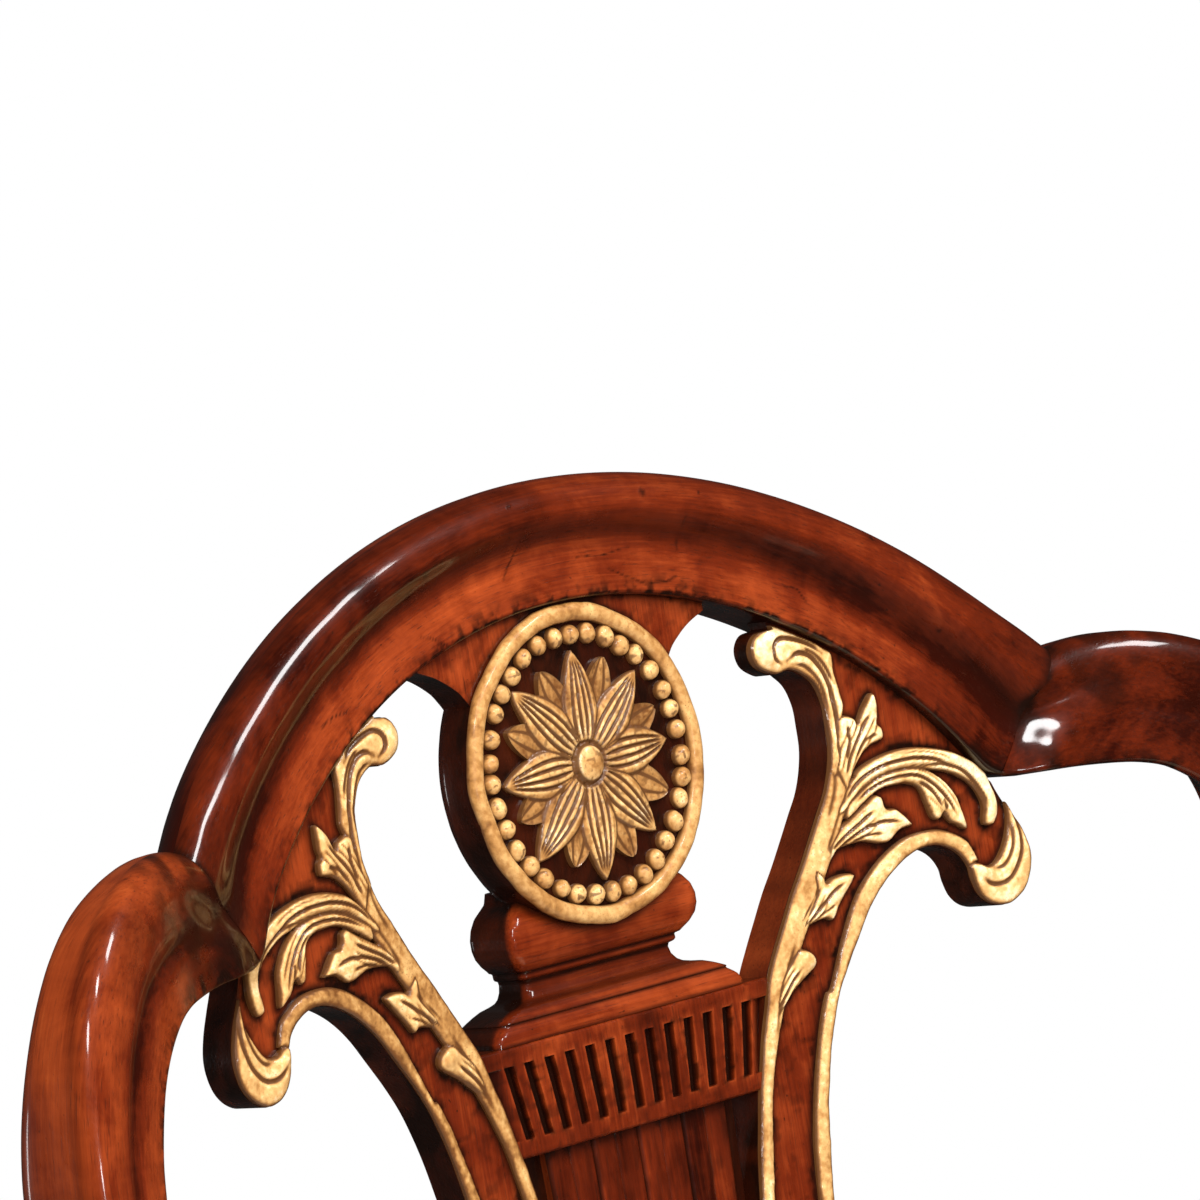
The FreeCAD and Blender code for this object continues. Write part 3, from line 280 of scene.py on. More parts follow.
def plate(shape, sdf, top, low, box, pitch, grain, wall_dirt=0.6, wall_rows=2, place=back, close=True, relief_shade=None):
    """Adds a carved plate to a shape. top(P, d) gives height, dirt, hi; low(P) the height of its underside.
    (steps, dark, pale) as the last argument paints shade into the hollows and highlights onto the ridges, from the
    heights themselves."""
    P, d, full, tri, rim = relief(sdf, top, low, box, pitch)
    h, dirt, hi = top(P, d)
    # painted shade in the hollows and painted highlight on the ridges of the carving
    if relief_shade:
        e = np.concatenate([np.stack([full[:, k], full[:, (k + 1) % 4]], 1) for k in range(4)]
                           + [np.stack([tri[:, k], tri[:, (k + 1) % 3]], 1) for k in range(3)])
        n = len(P)
        count = np.bincount(e[:, 0], minlength=n) + np.bincount(e[:, 1], minlength=n)
        mean = h - place_level(P)
        raised = mean.copy()
        for _ in range(relief_shade[0]):
            total = np.bincount(e[:, 0], mean[e[:, 1]], n) + np.bincount(e[:, 1], mean[e[:, 0]], n)
            mean = 0.4 * mean + 0.6 * total / np.maximum(count, 1)
        over = raised - mean
        dirt = np.clip(dirt + relief_shade[1] * np.clip(-over - 0.02, 0, 1), 0, 1)
        hi = np.clip(hi + relief_shade[2] * np.clip(over, 0, 1), -1, 1)
    g = grain(P, h)
    shape.add(place(P[:, 0], P[:, 1], h), full, tri, g, dirt, hi)
    lo = low(P)
    if close:
        shape.add(place(P[:, 0], P[:, 1], lo), full[:, ::-1], tri[:, ::-1], grain(P, lo), 0.25, 0.0)
    ring = np.unique(rim)
    to = {int(k): i for i, k in enumerate(ring)}
    r = np.array([[to[int(a)], to[int(b)]] for a, b in rim])
    m = len(ring)
    R = P[ring]
    levels = np.linspace(0, 1, wall_rows + 1)
    co, gr, di = [], [], []
    for t in levels:
        hh = h[ring] * (1 - t) + lo[ring] * t
        co.append(place(R[:, 0], R[:, 1], hh))
        gr.append(grain(R, hh))
        di.append(wall_dirt(R, t) if callable(wall_dirt) else np.full(m, wall_dirt))
    quads = []
    for k in range(wall_rows):
        a, b = r[:, 0] + k * m, r[:, 1] + k * m
        quads.append(np.stack([b, a, a + m, b + m], 1))
    shape.add(np.vstack(co), np.vstack(quads), (), np.vstack(gr), np.concatenate(di), 0.0)


def place_level(P):
    """Height of the bowed ground of the lyre, so that only the carving counts."""
    return lyre_n(P[:, 0])


def tube(shape, rings, gr, dirt=0.0, hi=0.0, caps=(True, True)):
    """Closed cross-sections (rows, cols, 3) joined into a skin, with fanned ends."""
    rings = np.asarray(rings, float)
    rows, cols = rings.shape[:2]
    q = grid_quads(rows, cols, True)
    mids = rings.mean(1)
    flat = rings.reshape(-1, 3)
    a, b, c, d = (flat[q[:, k]] for k in range(4))
    out = np.cross(c - a, d - b)
    middle = (a + b + c + d) / 4 - mids[np.minimum(q[:, 0] // cols, rows - 1)]
    flip = float((out * middle).sum()) < 0
    if flip:
        q = q[:, ::-1]
    dirt = np.broadcast_to(dirt, (rows, cols)).ravel()
    hi = np.broadcast_to(hi, (rows, cols)).ravel()
    shape.add(rings.reshape(-1, 3), q, (), np.asarray(gr).reshape(-1, 3), dirt, hi)
    for end, on in ((0, caps[0]), (rows - 1, caps[1])):
        if not on:
            continue
        ring = rings[end]
        mid = ring.mean(0)
        g = np.asarray(gr).reshape(rows, cols, 3)[end]
        co = np.vstack([ring, mid])
        k = np.arange(cols)
        t = np.stack([k, (k + 1) % cols, np.full(cols, cols)], 1)
        if (end == 0) == flip:
            t = t[:, ::-1]
        shape.add(co, (), t, np.vstack([g, g.mean(0)]), 0.3, 0.0)


# ------------------------------------------------------------------ materials
class Nodes:
    def __init__(self, name):
        self.mat = bpy.data.materials.new(name)
        self.mat.use_nodes = True
        self.nt = self.mat.node_tree
        self.bsdf = self.nt.nodes["Principled BSDF"]

    def new(self, kind, **props):
        n = self.nt.nodes.new(kind)
        for k, v in props.items():
            setattr(n, k, v)
        return n

    def put(self, socket, value):
        if isinstance(value, bpy.types.NodeSocket):
            self.nt.links.new(value, socket)
        else:
            socket.default_value = value

    def attr(self, name, out="Fac"):
        n = self.new("ShaderNodeAttribute", attribute_name=name)
        return n.outputs[out]

    def coords(self):
        return self.new("ShaderNodeTexCoord").outputs["Object"]

    def scaled(self, vec, scale, offset=(0, 0, 0)):
        n = self.new("ShaderNodeMapping")
        self.put(n.inputs["Vector"], vec)
        n.inputs["Scale"].default_value = scale
        n.inputs["Location"].default_value = offset
        return n.outputs["Vector"]

    def noise(self, vec, scale=1.0, detail=3.0, rough=0.55, distort=0.0):
        n = self.new("ShaderNodeTexNoise")
        self.put(n.inputs["Vector"], vec)
        n.inputs["Scale"].default_value = scale
        n.inputs["Detail"].default_value = detail
        n.inputs["Roughness"].default_value = rough
        n.inputs["Distortion"].default_value = distort
        return n.outputs["Fac"]

    def voronoi(self, vec, scale, out="Distance", random=1.0):
        n = self.new("ShaderNodeTexVoronoi")
        self.put(n.inputs["Vector"], vec)
        n.inputs["Scale"].default_value = scale
        n.inputs["Randomness"].default_value = random
        return n.outputs[out]

    def math(self, op, a, b=0.0, clamp=False):
        n = self.new("ShaderNodeMath", operation=op, use_clamp=clamp)
        self.put(n.inputs[0], a)
        self.put(n.inputs[1], b)
        return n.outputs[0]

    def span(self, value, a, b, lo=0.0, hi=1.0, smooth=True):
        n = self.new("ShaderNodeMapRange", interpolation_type="SMOOTHSTEP" if smooth else "LINEAR")
        self.put(n.inputs["Value"], value)
        n.inputs["From Min"].default_value = a
        n.inputs["From Max"].default_value = b
        n.inputs["To Min"].default_value = lo
        n.inputs["To Max"].default_value = hi
        return n.outputs["Result"]

    def ramp(self, fac, stops):
        n = self.new("ShaderNodeValToRGB")
        self.put(n.inputs["Fac"], fac)
        els = n.color_ramp.elements
        els[0].position, els[0].color = stops[0][0], (*stops[0][1], 1)
        els[1].position, els[1].color = stops[-1][0], (*stops[-1][1], 1)
        for p, c in stops[1:-1]:
            e = els.new(p)
            e.color = (*c, 1)
        return n.outputs["Color"]

    def mix(self, fac, a, b, blend="MIX"):
        n = self.new("ShaderNodeMix", data_type="RGBA", blend_type=blend)
        self.put(n.inputs["Factor"], fac)
        rgba = [s for s in n.inputs if s.type == "RGBA"]
        self.put(rgba[0], a if isinstance(a, bpy.types.NodeSocket) else (*a, 1))
        self.put(rgba[1], b if isinstance(b, bpy.types.NodeSocket) else (*b, 1))
        return [s for s in n.outputs if s.type == "RGBA"][0]

    def bump(self, height, distance, strength=1.0, normal=None):
        n = self.new("ShaderNodeBump")
        self.put(n.inputs["Height"], height)
        n.inputs["Distance"].default_value = distance
        n.inputs["Strength"].default_value = strength
        if normal is not None:
            self.put(n.inputs["Normal"], normal)
        return n.outputs["Normal"]


def mahogany(name, painted=True, along=0, tone=1.0):
    """Polished mahogany. painted pieces carry their own grain lines, glaze, and painted light and shade; the others
    take the grain from the row frame.
    """
    k = Nodes(name)
    if painted:
        gr = k.attr("gr", "Vector")
        dirt, hi = k.attr("dirt"), k.attr("hi")
    else:
        turn = k.new("ShaderNodeMapping")
        k.put(turn.inputs["Vector"], k.coords())
        turn.inputs["Rotation"].default_value = [(0, 0, 0), (0, 0, math.radians(-90)), (0, math.radians(90), 0)][along]
        gr = turn.outputs["Vector"]
        dirt = None
    big = k.noise(k.scaled(gr, (7, 26, 26)), 1.0, 3.0, 0.55, 0.6)
    ribbon = k.noise(k.scaled(gr, (150, 22, 22), (3, 0, 0)), 1.0, 2.0, 0.5, 0.25)
    fibre = k.noise(k.scaled(gr, (26, 900, 900), (0, 5, 0)), 1.0, 3.0, 0.6, 0.4)
    pores = k.noise(k.scaled(gr, (85, 2100, 2100), (0, 0, 9)), 1.0, 2.0, 0.6, 0.2)
    patches = k.noise(k.scaled(gr, (38, 60, 60), (11, 2, 0)), 1.0, 4.0, 0.65, 0.8)
    f = k.math("MULTIPLY_ADD", big, 0.86)
    f.node.inputs[2].default_value = -0.155
    f = k.math("ADD", f, k.math("MULTIPLY", k.math("SUBTRACT", ribbon, 0.5), 0.15))
    f = k.math("ADD", f, k.math("MULTIPLY", k.math("SUBTRACT", fibre, 0.5), 0.30))
    if painted:
        # hi carries painted light and painted shade as a tone, paler or darker
        f = k.math("ADD", f, k.math("MULTIPLY", hi, 0.50))
    f = k.math("ADD", f, k.math("MULTIPLY", k.math("SUBTRACT", patches, 0.145), 0.46), clamp=True)
    t = tone
    colour = k.ramp(f, [
        (0.06, (0.017 * t, 0.0015 * t, 0.0003 * t)),
        (0.34, (0.092 * t, 0.0100 * t, 0.0018 * t)),
        (0.58, (0.215 * t, 0.0320 * t, 0.0060 * t)),
        (0.90, (0.385 * t, 0.0780 * t, 0.0160 * t)),
    ])
    pore = k.span(pores, 0.59, 0.71)
    colour = k.mix(k.math("MULTIPLY", pore, 0.62), colour, (0.028 * t, 0.0055 * t, 0.002 * t))
    specks = k.span(k.noise(k.scaled(gr, (420, 620, 620), (0, 0, 3)), 1.0, 2.0, 0.5, 0.0), 0.695, 0.76)
    gaps = k.span(k.noise(k.scaled(gr, (26, 34, 34), (5, 0, 3)), 1.0, 2.0, 0.5, 0.0), 0.42, 0.60)
    specks = k.math("MULTIPLY", specks, gaps)
    colour = k.mix(k.math("MULTIPLY", specks, 0.88), colour, (0.012, 0.004, 0.002))
    if painted:
        # darkens towards near-black: glaze and grime, and painted shade where a piece carries it
        grime = k.math("MULTIPLY", dirt, k.span(patches, 0.15, 0.75, 0.74, 1.12, False), clamp=True)
        colour = k.mix(grime, colour, (0.0062, 0.0016, 0.0007))
    k.put(k.bsdf.inputs["Base Color"], colour)
    rough = k.span(k.noise(k.scaled(gr, (60, 130, 130), (2, 2, 2)), 1.0, 3.0, 0.6, 0.0), 0.3, 0.75, 0.24, 0.40, False)
    rough = k.math("ADD", rough, k.math("MULTIPLY", pore, 0.10))
    k.put(k.bsdf.inputs["Roughness"], rough)
    k.bsdf.inputs["Coat Weight"].default_value = 0.65
    k.bsdf.inputs["Coat Roughness"].default_value = 0.085
    k.bsdf.inputs["Specular IOR Level"].default_value = 0.10
    height = k.math("MULTIPLY", pore, -0.5)
    height = k.math("ADD", height, k.math("MULTIPLY", fibre, 0.25))
    n = k.bump(height, 0.00010, 0.55)
    wavy = k.noise(k.scaled(gr, (34, 60, 60), (1, 7, 0)), 1.0, 1.5, 0.4, 0.0)
    n = k.bump(wavy, 0.0010, 0.28, n)
    if painted:
        lumps = k.math("MULTIPLY", k.noise(k.scaled(gr, (900, 900, 900)), 1.0, 2.0, 0.5, 0.0), dirt)
        n = k.bump(lumps, 0.00022, 0.6, n)
    k.put(k.bsdf.inputs["Normal"], n)
    return k.mat


def gilding(name):
    """Aged gilding: pale gold on the high places as painted highlight, brown glaze and painted shade in the cuts."""
    k = Nodes(name)
    gr = k.coords()
    dirt, hi = k.attr("dirt"), k.attr("hi")
    a = k.noise(k.scaled(gr, (70, 70, 70)), 1.0, 4.0, 0.6, 0.5)
    b = k.noise(k.scaled(gr, (420, 420, 420), (3, 0, 0)), 1.0, 3.0, 0.6, 0.2)
    c = k.noise(k.scaled(gr, (1500, 1500, 1500), (0, 4, 0)), 1.0, 2.0, 0.5, 0.0)
    f = k.math("MULTIPLY_ADD", a, 1.00)
    f.node.inputs[2].default_value = -0.29
    f = k.math("ADD", f, k.math("MULTIPLY", k.math("SUBTRACT", b, 0.5), 0.62))
    # hi carries painted highlight and painted shade into the gold's tone
    f = k.math("ADD", f, k.math("MULTIPLY", hi, 0.50), clamp=True)
    colour = k.ramp(f, [
        (0.04, (0.130, 0.046, 0.010)),
        (0.28, (0.335, 0.155, 0.042)),
        (0.58, (0.600, 0.352, 0.130)),
        (0.95, (0.930, 0.760, 0.480)),
    ])
    spot = k.math("MULTIPLY", k.span(c, 0.59, 0.71), k.span(a, 0.40, 0.66))
    colour = k.mix(k.math("MULTIPLY", spot, 0.75), colour, (0.120, 0.052, 0.012))
    stain_and_shade = k.span(k.math("ADD", dirt, k.math("MULTIPLY", k.math("SUBTRACT", b, 0.5), 0.40)), 0.10, 0.72)
    colour = k.mix(k.math("MULTIPLY", stain_and_shade, 0.95), colour, (0.080, 0.0280, 0.0070))
    k.put(k.bsdf.inputs["Base Color"], colour)
    k.bsdf.inputs["Metallic"].default_value = 0.12
    k.put(k.bsdf.inputs["Roughness"], k.span(b, 0.25, 0.8, 0.36, 0.55, False))
    k.bsdf.inputs["Coat Weight"].default_value = 0.45
    k.bsdf.inputs["Coat Roughness"].default_value = 0.14
    n = k.bump(b, 0.00022, 0.55)
    n = k.bump(k.noise(k.scaled(gr, (150, 150, 150), (0, 0, 6)), 1.0, 2.0, 0.5, 0.0), 0.0006, 0.35, n)
    k.put(k.bsdf.inputs["Normal"], n)
    return k.mat


WOOD = mahogany("mahogany_polished")
GILT = gilding("antique_gilding")

# ------------------------------------------------------------------ outlines of the back (same as the solids)
CREST_BOW = [(0, 4), (60, 6), (120, 12), (178, 23), (200, 30.5), (222, 41), (240, 50.5), (258, 59.5), (275, 67), (292, 73), (310, 78)]
LYRE_BOW = [(0, -3.5), (40, -2.7), (80, 0), (110, 4.5), (140, 9.5), (170, 14), (198, 19)]


def smooth_bow(rows):
    r = np.array(rows, float)
    full = np.vstack([r[:0:-1] * [-1, 1], r])
    s = spline(full, 800)
    return s * SC


CREST_LINE, LYRE_LINE = smooth_bow(CREST_BOW), smooth_bow(LYRE_BOW)


def crest_n(u):
    return np.interp(u, CREST_LINE[:, 0], CREST_LINE[:, 1])


def lyre_n(u):
    return np.interp(u, LYRE_LINE[:, 0], LYRE_LINE[:, 1])


JOINT_V = -97.0
R_OUT, C_OUT, R_IN, C_IN = 276.0, -177.6, 216.0, -160.0
CUSP_OUT = (207.0, C_OUT + math.sqrt(R_OUT ** 2 - 207.0 ** 2))
CUSP_IN = (178.0, C_IN + math.sqrt(R_IN ** 2 - 178.0 ** 2))
SHOULDER_OUT = [CUSP_OUT, (213, 6.4), (221, 7.0), (229, 6.7), (239, 5.2), (252, 1.4), (266, -5.5), (278, -16), (287, -29), (293.5, -44),
                (298, -61), (300.5, -79), (301.5, JOINT_V)]
SHOULDER_IN = [(267, JOINT_V), (264.5, -84), (260, -71.5), (254, -60.5), (246, -51.5), (237, -45), (229, -41.8), (220, -40), (206, -38.6), (191, -38.0), CUSP_IN]
ARM_IN = [(95, 31.4), (88.5, 30.6), (85, 27), (84.6, 22.5), (87, 18.5), (93.5, 15.3), (100, 15.8), (105, 13.6),
          (109.5, 9.3), (112, 2), (112.3, -6), (112, -14), (110, -22), (107, -29), (103, -35.3), (98, -43.3),
          (92.2, -52.3), (86.4, -60.5), (80.7, -69.5), (75, -78.5), (69.5, -88), (66.2, -98), (62.5, -108),
          (59.3, -119), (57, -127), (55.2, -134.6), (53, -144), (51.9, -150), (49.5, -165), (48.5, -180), (50, -200),
          (55, -225), (62.5, -255), (68.5, -285), (70, -310), (67, -335), (59, -360), (48, -382), (38, -400)]
ARM_OUT = [(66, -400), (78, -388), (90, -370), (99.5, -342), (103, -312), (101.5, -285), (96.5, -255), (90, -225),
           (84.5, -200), (82.5, -180), (83, -165), (85.3, -148.6), (86.8, -138), (89, -128.8), (91.7, -119),
           (95, -109.7), (99.3, -100), (104.8, -91), (111.8, -81.3), (119, -71.8), (127, -64.3), (136, -58.8),
           (143.6, -56.3), (150.5, -56.3), (156.8, -58.6), (161, -62), (163.6, -66.5), (164.3, -71), (166.5, -77),
           (171, -81.2), (177.8, -82.8), (184, -80.5), (188.6, -76), (191, -70), (191.3, -64), (189.3, -57),
           (186, -50), (182.6, -43.5), (180.5, -38.6)]


# ------------------------------------------------------------------ crest rail: a moulding swept round the arch and shoulders
EDGE_N = -10.0                    # how far the outermost line of the rail lies behind its nose
CREST_THICK = 28.5
STILE_MORE = 11.5                 # the stiles grow deeper below the shoulders


def moulding(stile):
    """Front section of the rail from its outer edge to its inner edge: share of the width, height over the nose (mm),
    and darkening from glaze and painted shade.
    A round outer side, a nose, a hollow and a flat band; on the stiles the hollow dies out into one soft face."""
    w, n, dirt = [], [], []
    nose, hollow, edge = 0.30, 0.57, 0.96
    for t in np.linspace(0, 1, 16):
        a = math.radians(90 * t)
        w.append(nose * (1 - math.cos(a)))
        n.append(EDGE_N * (1 - math.sin(a)))
        # painted shade: the outer round darker towards its outer edge
        dirt.append(0.30 - 0.24 * t)
    for t in np.linspace(0, 1, 20)[1:]:
        w.append(nose + (hollow - nose) * t)
        n.append(0.5 * t if stile else -5.4 * math.sin(math.pi / 2 * t) ** 1.3)
        # painted shade: the hollow darker in its deepest part
        dirt.append(0.10 if stile else 0.06 + 0.46 * math.exp(-((t - 0.62) / 0.34) ** 2))
    for t in np.linspace(0, 1, 24)[1:]:
        w.append(hollow + (edge - hollow) * t)
        n.append(0.5 + 0.6 * t if stile else -5.4 + 1.9 * t ** 1.4)
        # painted shade in the crease where the hollow meets the band
        dirt.append(0.06 if stile else 0.30 * math.exp(-(t / 0.12) ** 2))
    top, rad = (1.1, 2.6) if stile else (-3.5, 1.6)
    for t in np.linspace(0, 1, 6)[1:]:
        a = math.radians(90 * t)
        w.append(edge + (1 - edge) * math.sin(a))
        n.append(top - rad * (1 - math.cos(a)))
        dirt.append(0.10 + 0.30 * t if stile else 0.30 + 0.45 * t)
    return w, n, dirt


def rail_section(stile):
    """The whole closed section in order round the rail. The crest is cut away thin behind its outer edge; the stiles are full."""
    w, n, d = moulding(stile)
    last, lean = n[-1], 0.34 if stile else 0.0             # the stiles' inner side leans away
    for t in np.linspace(0, 1, 8)[1:]:                     # inner side wall down to the back, painted nearly black as painted shade
        w.append(1.0 - lean * t ** 1.4)
        n.append(last + t * (-(CREST_THICK - 3.0) - last))
        d.append(0.97 - 0.1 * t)
    for t in np.linspace(0, 1, 5)[1:]:
        a = math.radians(90 * t)
        w.append(1.0 - lean - 3.0 / 40 * (1 - math.cos(a)))
        n.append(-(CREST_THICK - 3.0) - 3.0 * math.sin(a))
        d.append(0.3)
    cut, rise = (6.0 / 40, 6.0) if stile else (0.42, CREST_THICK + EDGE_N - 2.0)
    for t in np.linspace(0, 1, 16)[1:-1]:                  # back face
        w.append((1 - lean - 3.0 / 40) + t * (cut - (1 - lean - 3.0 / 40)))
        n.append(-CREST_THICK)
        d.append(0.12)
    for t in np.linspace(0, 1, 7):                         # outer back edge
        a = math.radians(90 * t)
        w.append(cut * (1 - math.sin(a)))
        n.append(-CREST_THICK + rise * (1 - math.cos(a)))
        d.append(0.12)
    for t in np.linspace(0, 1, 7)[1:-1]:                   # outer side up to the round
        w.append(0.0)
        n.append(-CREST_THICK + rise + t * (CREST_THICK - rise + EDGE_N))
        d.append(0.10)
    return np.array(w), np.array(n), np.array(d)


RW, RN, RD = rail_section(False)
TW, TN, TD = rail_section(True)
RK = np.arange(len(RW))
RAIL_LIGHT_SHADE = np.interp(RK, [0, 26, 44, 58, 60, 200], [-0.42, -0.40, 0.06, 0.06, -0.20, -0.20])    # painted light and shade: outer round and hollow darker, flat band paler, as the light falls on them
FACE = RK < 63                    # the carved front
WAVY = RK < 60


def boss(u, v):
    """The rounded swelling where the inner edges of crest and shoulder meet, mm."""
    return 3.3 * np.exp(-(((np.abs(u) - 192.5 * SC) ** 2 + (v + 31 * SC) ** 2) / 10.5 ** 2))


def rail_rings(outer, inner, bow):
    """Section rings for matching points of the outer and inner edge (mm, in the back's plane)."""
    o, i = outer[:, None, :], inner[:, None, :]
    uv = o + (i - o) * RW[None, :, None]
    n = bow(uv[..., 0]) + RN[None, :]
    return uv, n


SCRATCHES = [  # worn lines across the crest, (u, v) mm
    ([(-24, 64), (-19, 70), (-14.5, 76)], 0.5), ([(-66, 52), (-58, 48.5), (-49, 46)], 0.45), ([(31, 57), (38, 53.5), (46, 52.0), (51, 53)], 0.55),
    ([(56, 73), (55, 67), (53.5, 62)], 0.55), ([(22, 60.5), (27, 58.5), (31, 57)], 0.4), ([(-2, 74), (12, 75), (28, 73.5)], 0.3),
    ([(96, 44), (101, 41), (104, 36)], 0.4), ([(-118, 30), (-111, 33), (-104, 34)], 0.4), ([(8, 66), (20, 65.2), (33, 66)], 0.3),
]
CHIPS = [((38.5, 83.5), 2.2), ((-62, 71), 2.0), ((63, 79), 1.0), ((134, 52), 1.6), ((-20, 87), 1.2), ((155, 18), 1.4), ((-150, 22), 1.2)]


def crest_paint(uv, w, base, s):
    """Glaze on the crest: worn lines, chips, a mottled dark line on the inner edge."""
    P = uv.reshape(-1, 2)
    W = np.broadcast_to(w, uv.shape[:2]).ravel()
    d = np.broadcast_to(base, uv.shape[:2]).ravel().copy()
    front = np.broadcast_to(FACE, uv.shape[:2]).ravel()
    wob = np.column_stack([vnoise(P, 6.0, 3) - 0.5, vnoise(P, 6.0, 4) - 0.5]) * 1.6
    mott = vnoise(P, 3.2, 7) * 0.6 + vnoise(P, 1.2, 8) * 0.4
    edge = sstep(0.80, 0.99, W + 0.10 * (vnoise(P, 16.0, 9) - 0.5)) * (W <= 1.0) * front
    d = d + edge * sstep(0.36, 0.72, mott) * 0.85
    for line, width in SCRATCHES:
        g, t = line_distance(P + wob, np.array(line, float))
        d = np.maximum(d, np.exp(-(g / (width * 0.75)) ** 2) * (0.55 + 0.4 * np.sin(np.pi * t)) * front)
    for c, r in CHIPS:
        g = np.hypot(*(P + 1.4 * wob - np.array(c)).T)
        d = np.maximum(d, sstep(r, 0.35 * r, g) * 0.9 * front)
    return np.clip(d, 0, 1).reshape(uv.shape[:2])


def crest_wave(uv):
    """The slight unevenness of hand work, mm."""
    P = uv.reshape(-1, 2)
    a = (vnoise(P, 34.0, 21) - 0.5) * 0.55 + (vnoise(P, 12.0, 22) - 0.5) * 0.22
    return a.reshape(uv.shape[:2])


crest = Shape()
A_OUT = math.atan2(CUSP_OUT[1] - C_OUT, CUSP_OUT[0])
A_IN = math.atan2(CUSP_IN[1] - C_IN, CUSP_IN[0])
CORNER = np.array(CUSP_IN) * SC                            # inner corner of crest and shoulder, rounded off
ROUND = 8.0
ROUND_A = np.array([R_IN * math.cos(A_IN + ROUND / (R_IN * SC)), C_IN + R_IN * math.sin(A_IN + ROUND / (R_IN * SC))]) * SC
LOWER_EDGE = even(spline(np.array(SHOULDER_IN)[::-1], 400), 800) * SC
ROUND_B = LOWER_EDGE[np.argmin(np.abs(np.hypot(*(LOWER_EDGE - CORNER).T) - ROUND))]


def rounded(points, own, other):
    """Edge points near the corner moved on to the round between its two ends, mm."""
    sign = np.where(points[:, :1] < 0, -1.0, 1.0)
    p = np.column_stack([np.abs(points[:, 0]), points[:, 1]])
    d = np.hypot(*(p - CORNER).T)[:, None]
    t = 0.5 * np.clip(1 - d / ROUND, 0, 1)
    p = np.where(d < ROUND, (1 - t) ** 2 * own + 2 * t * (1 - t) * CORNER + t ** 2 * other, p)
    return np.column_stack([p[:, 0] * sign[:, 0], p[:, 1]])


T = np.linspace(0, 1, 440)
ao, ai = math.pi - A_OUT + T * (2 * A_OUT - math.pi), math.pi - A_IN + T * (2 * A_IN - math.pi)
outer = np.stack([R_OUT * np.cos(ao), C_OUT + R_OUT * np.sin(ao)], 1) * SC
inner = rounded(np.stack([R_IN * np.cos(ai), C_IN + R_IN * np.sin(ai)], 1) * SC, ROUND_A, ROUND_B)
uv, nn = rail_rings(outer, inner, crest_n)
mitre = np.minimum(T, 1 - T) * 420.0
fade = 0.6 * (np.exp(-(mitre / 17) ** 2) * (T < 0.5))[:, None] * FACE[None, :]     # the hollow runs out at the left joint
nn = nn + fade * (TN - RN)[None, :]
uv = uv + (inner - outer)[:, None, :] * (fade * (TW - RW)[None, :])[..., None]
nn = nn + (crest_wave(uv) + boss(uv[..., 0], uv[..., 1])) * WAVY[None, :]
length = np.linspace(0, 0.42, len(T))
paint = crest_paint(uv, RW[None, :], RD[None, :], T)
paint = np.clip(paint + (np.exp(-(mitre / 2.2) ** 2) * 0.55 + np.exp(-(mitre / 16) ** 2) * 0.22)[:, None] * (FACE * sstep(0.80, 0.45, RW))[None, :], 0, 1)
gr = np.stack([np.broadcast_to(length[:, None], nn.shape), np.broadcast_to(RW[None, :] * 0.04, nn.shape), nn * 1e-3], -1)
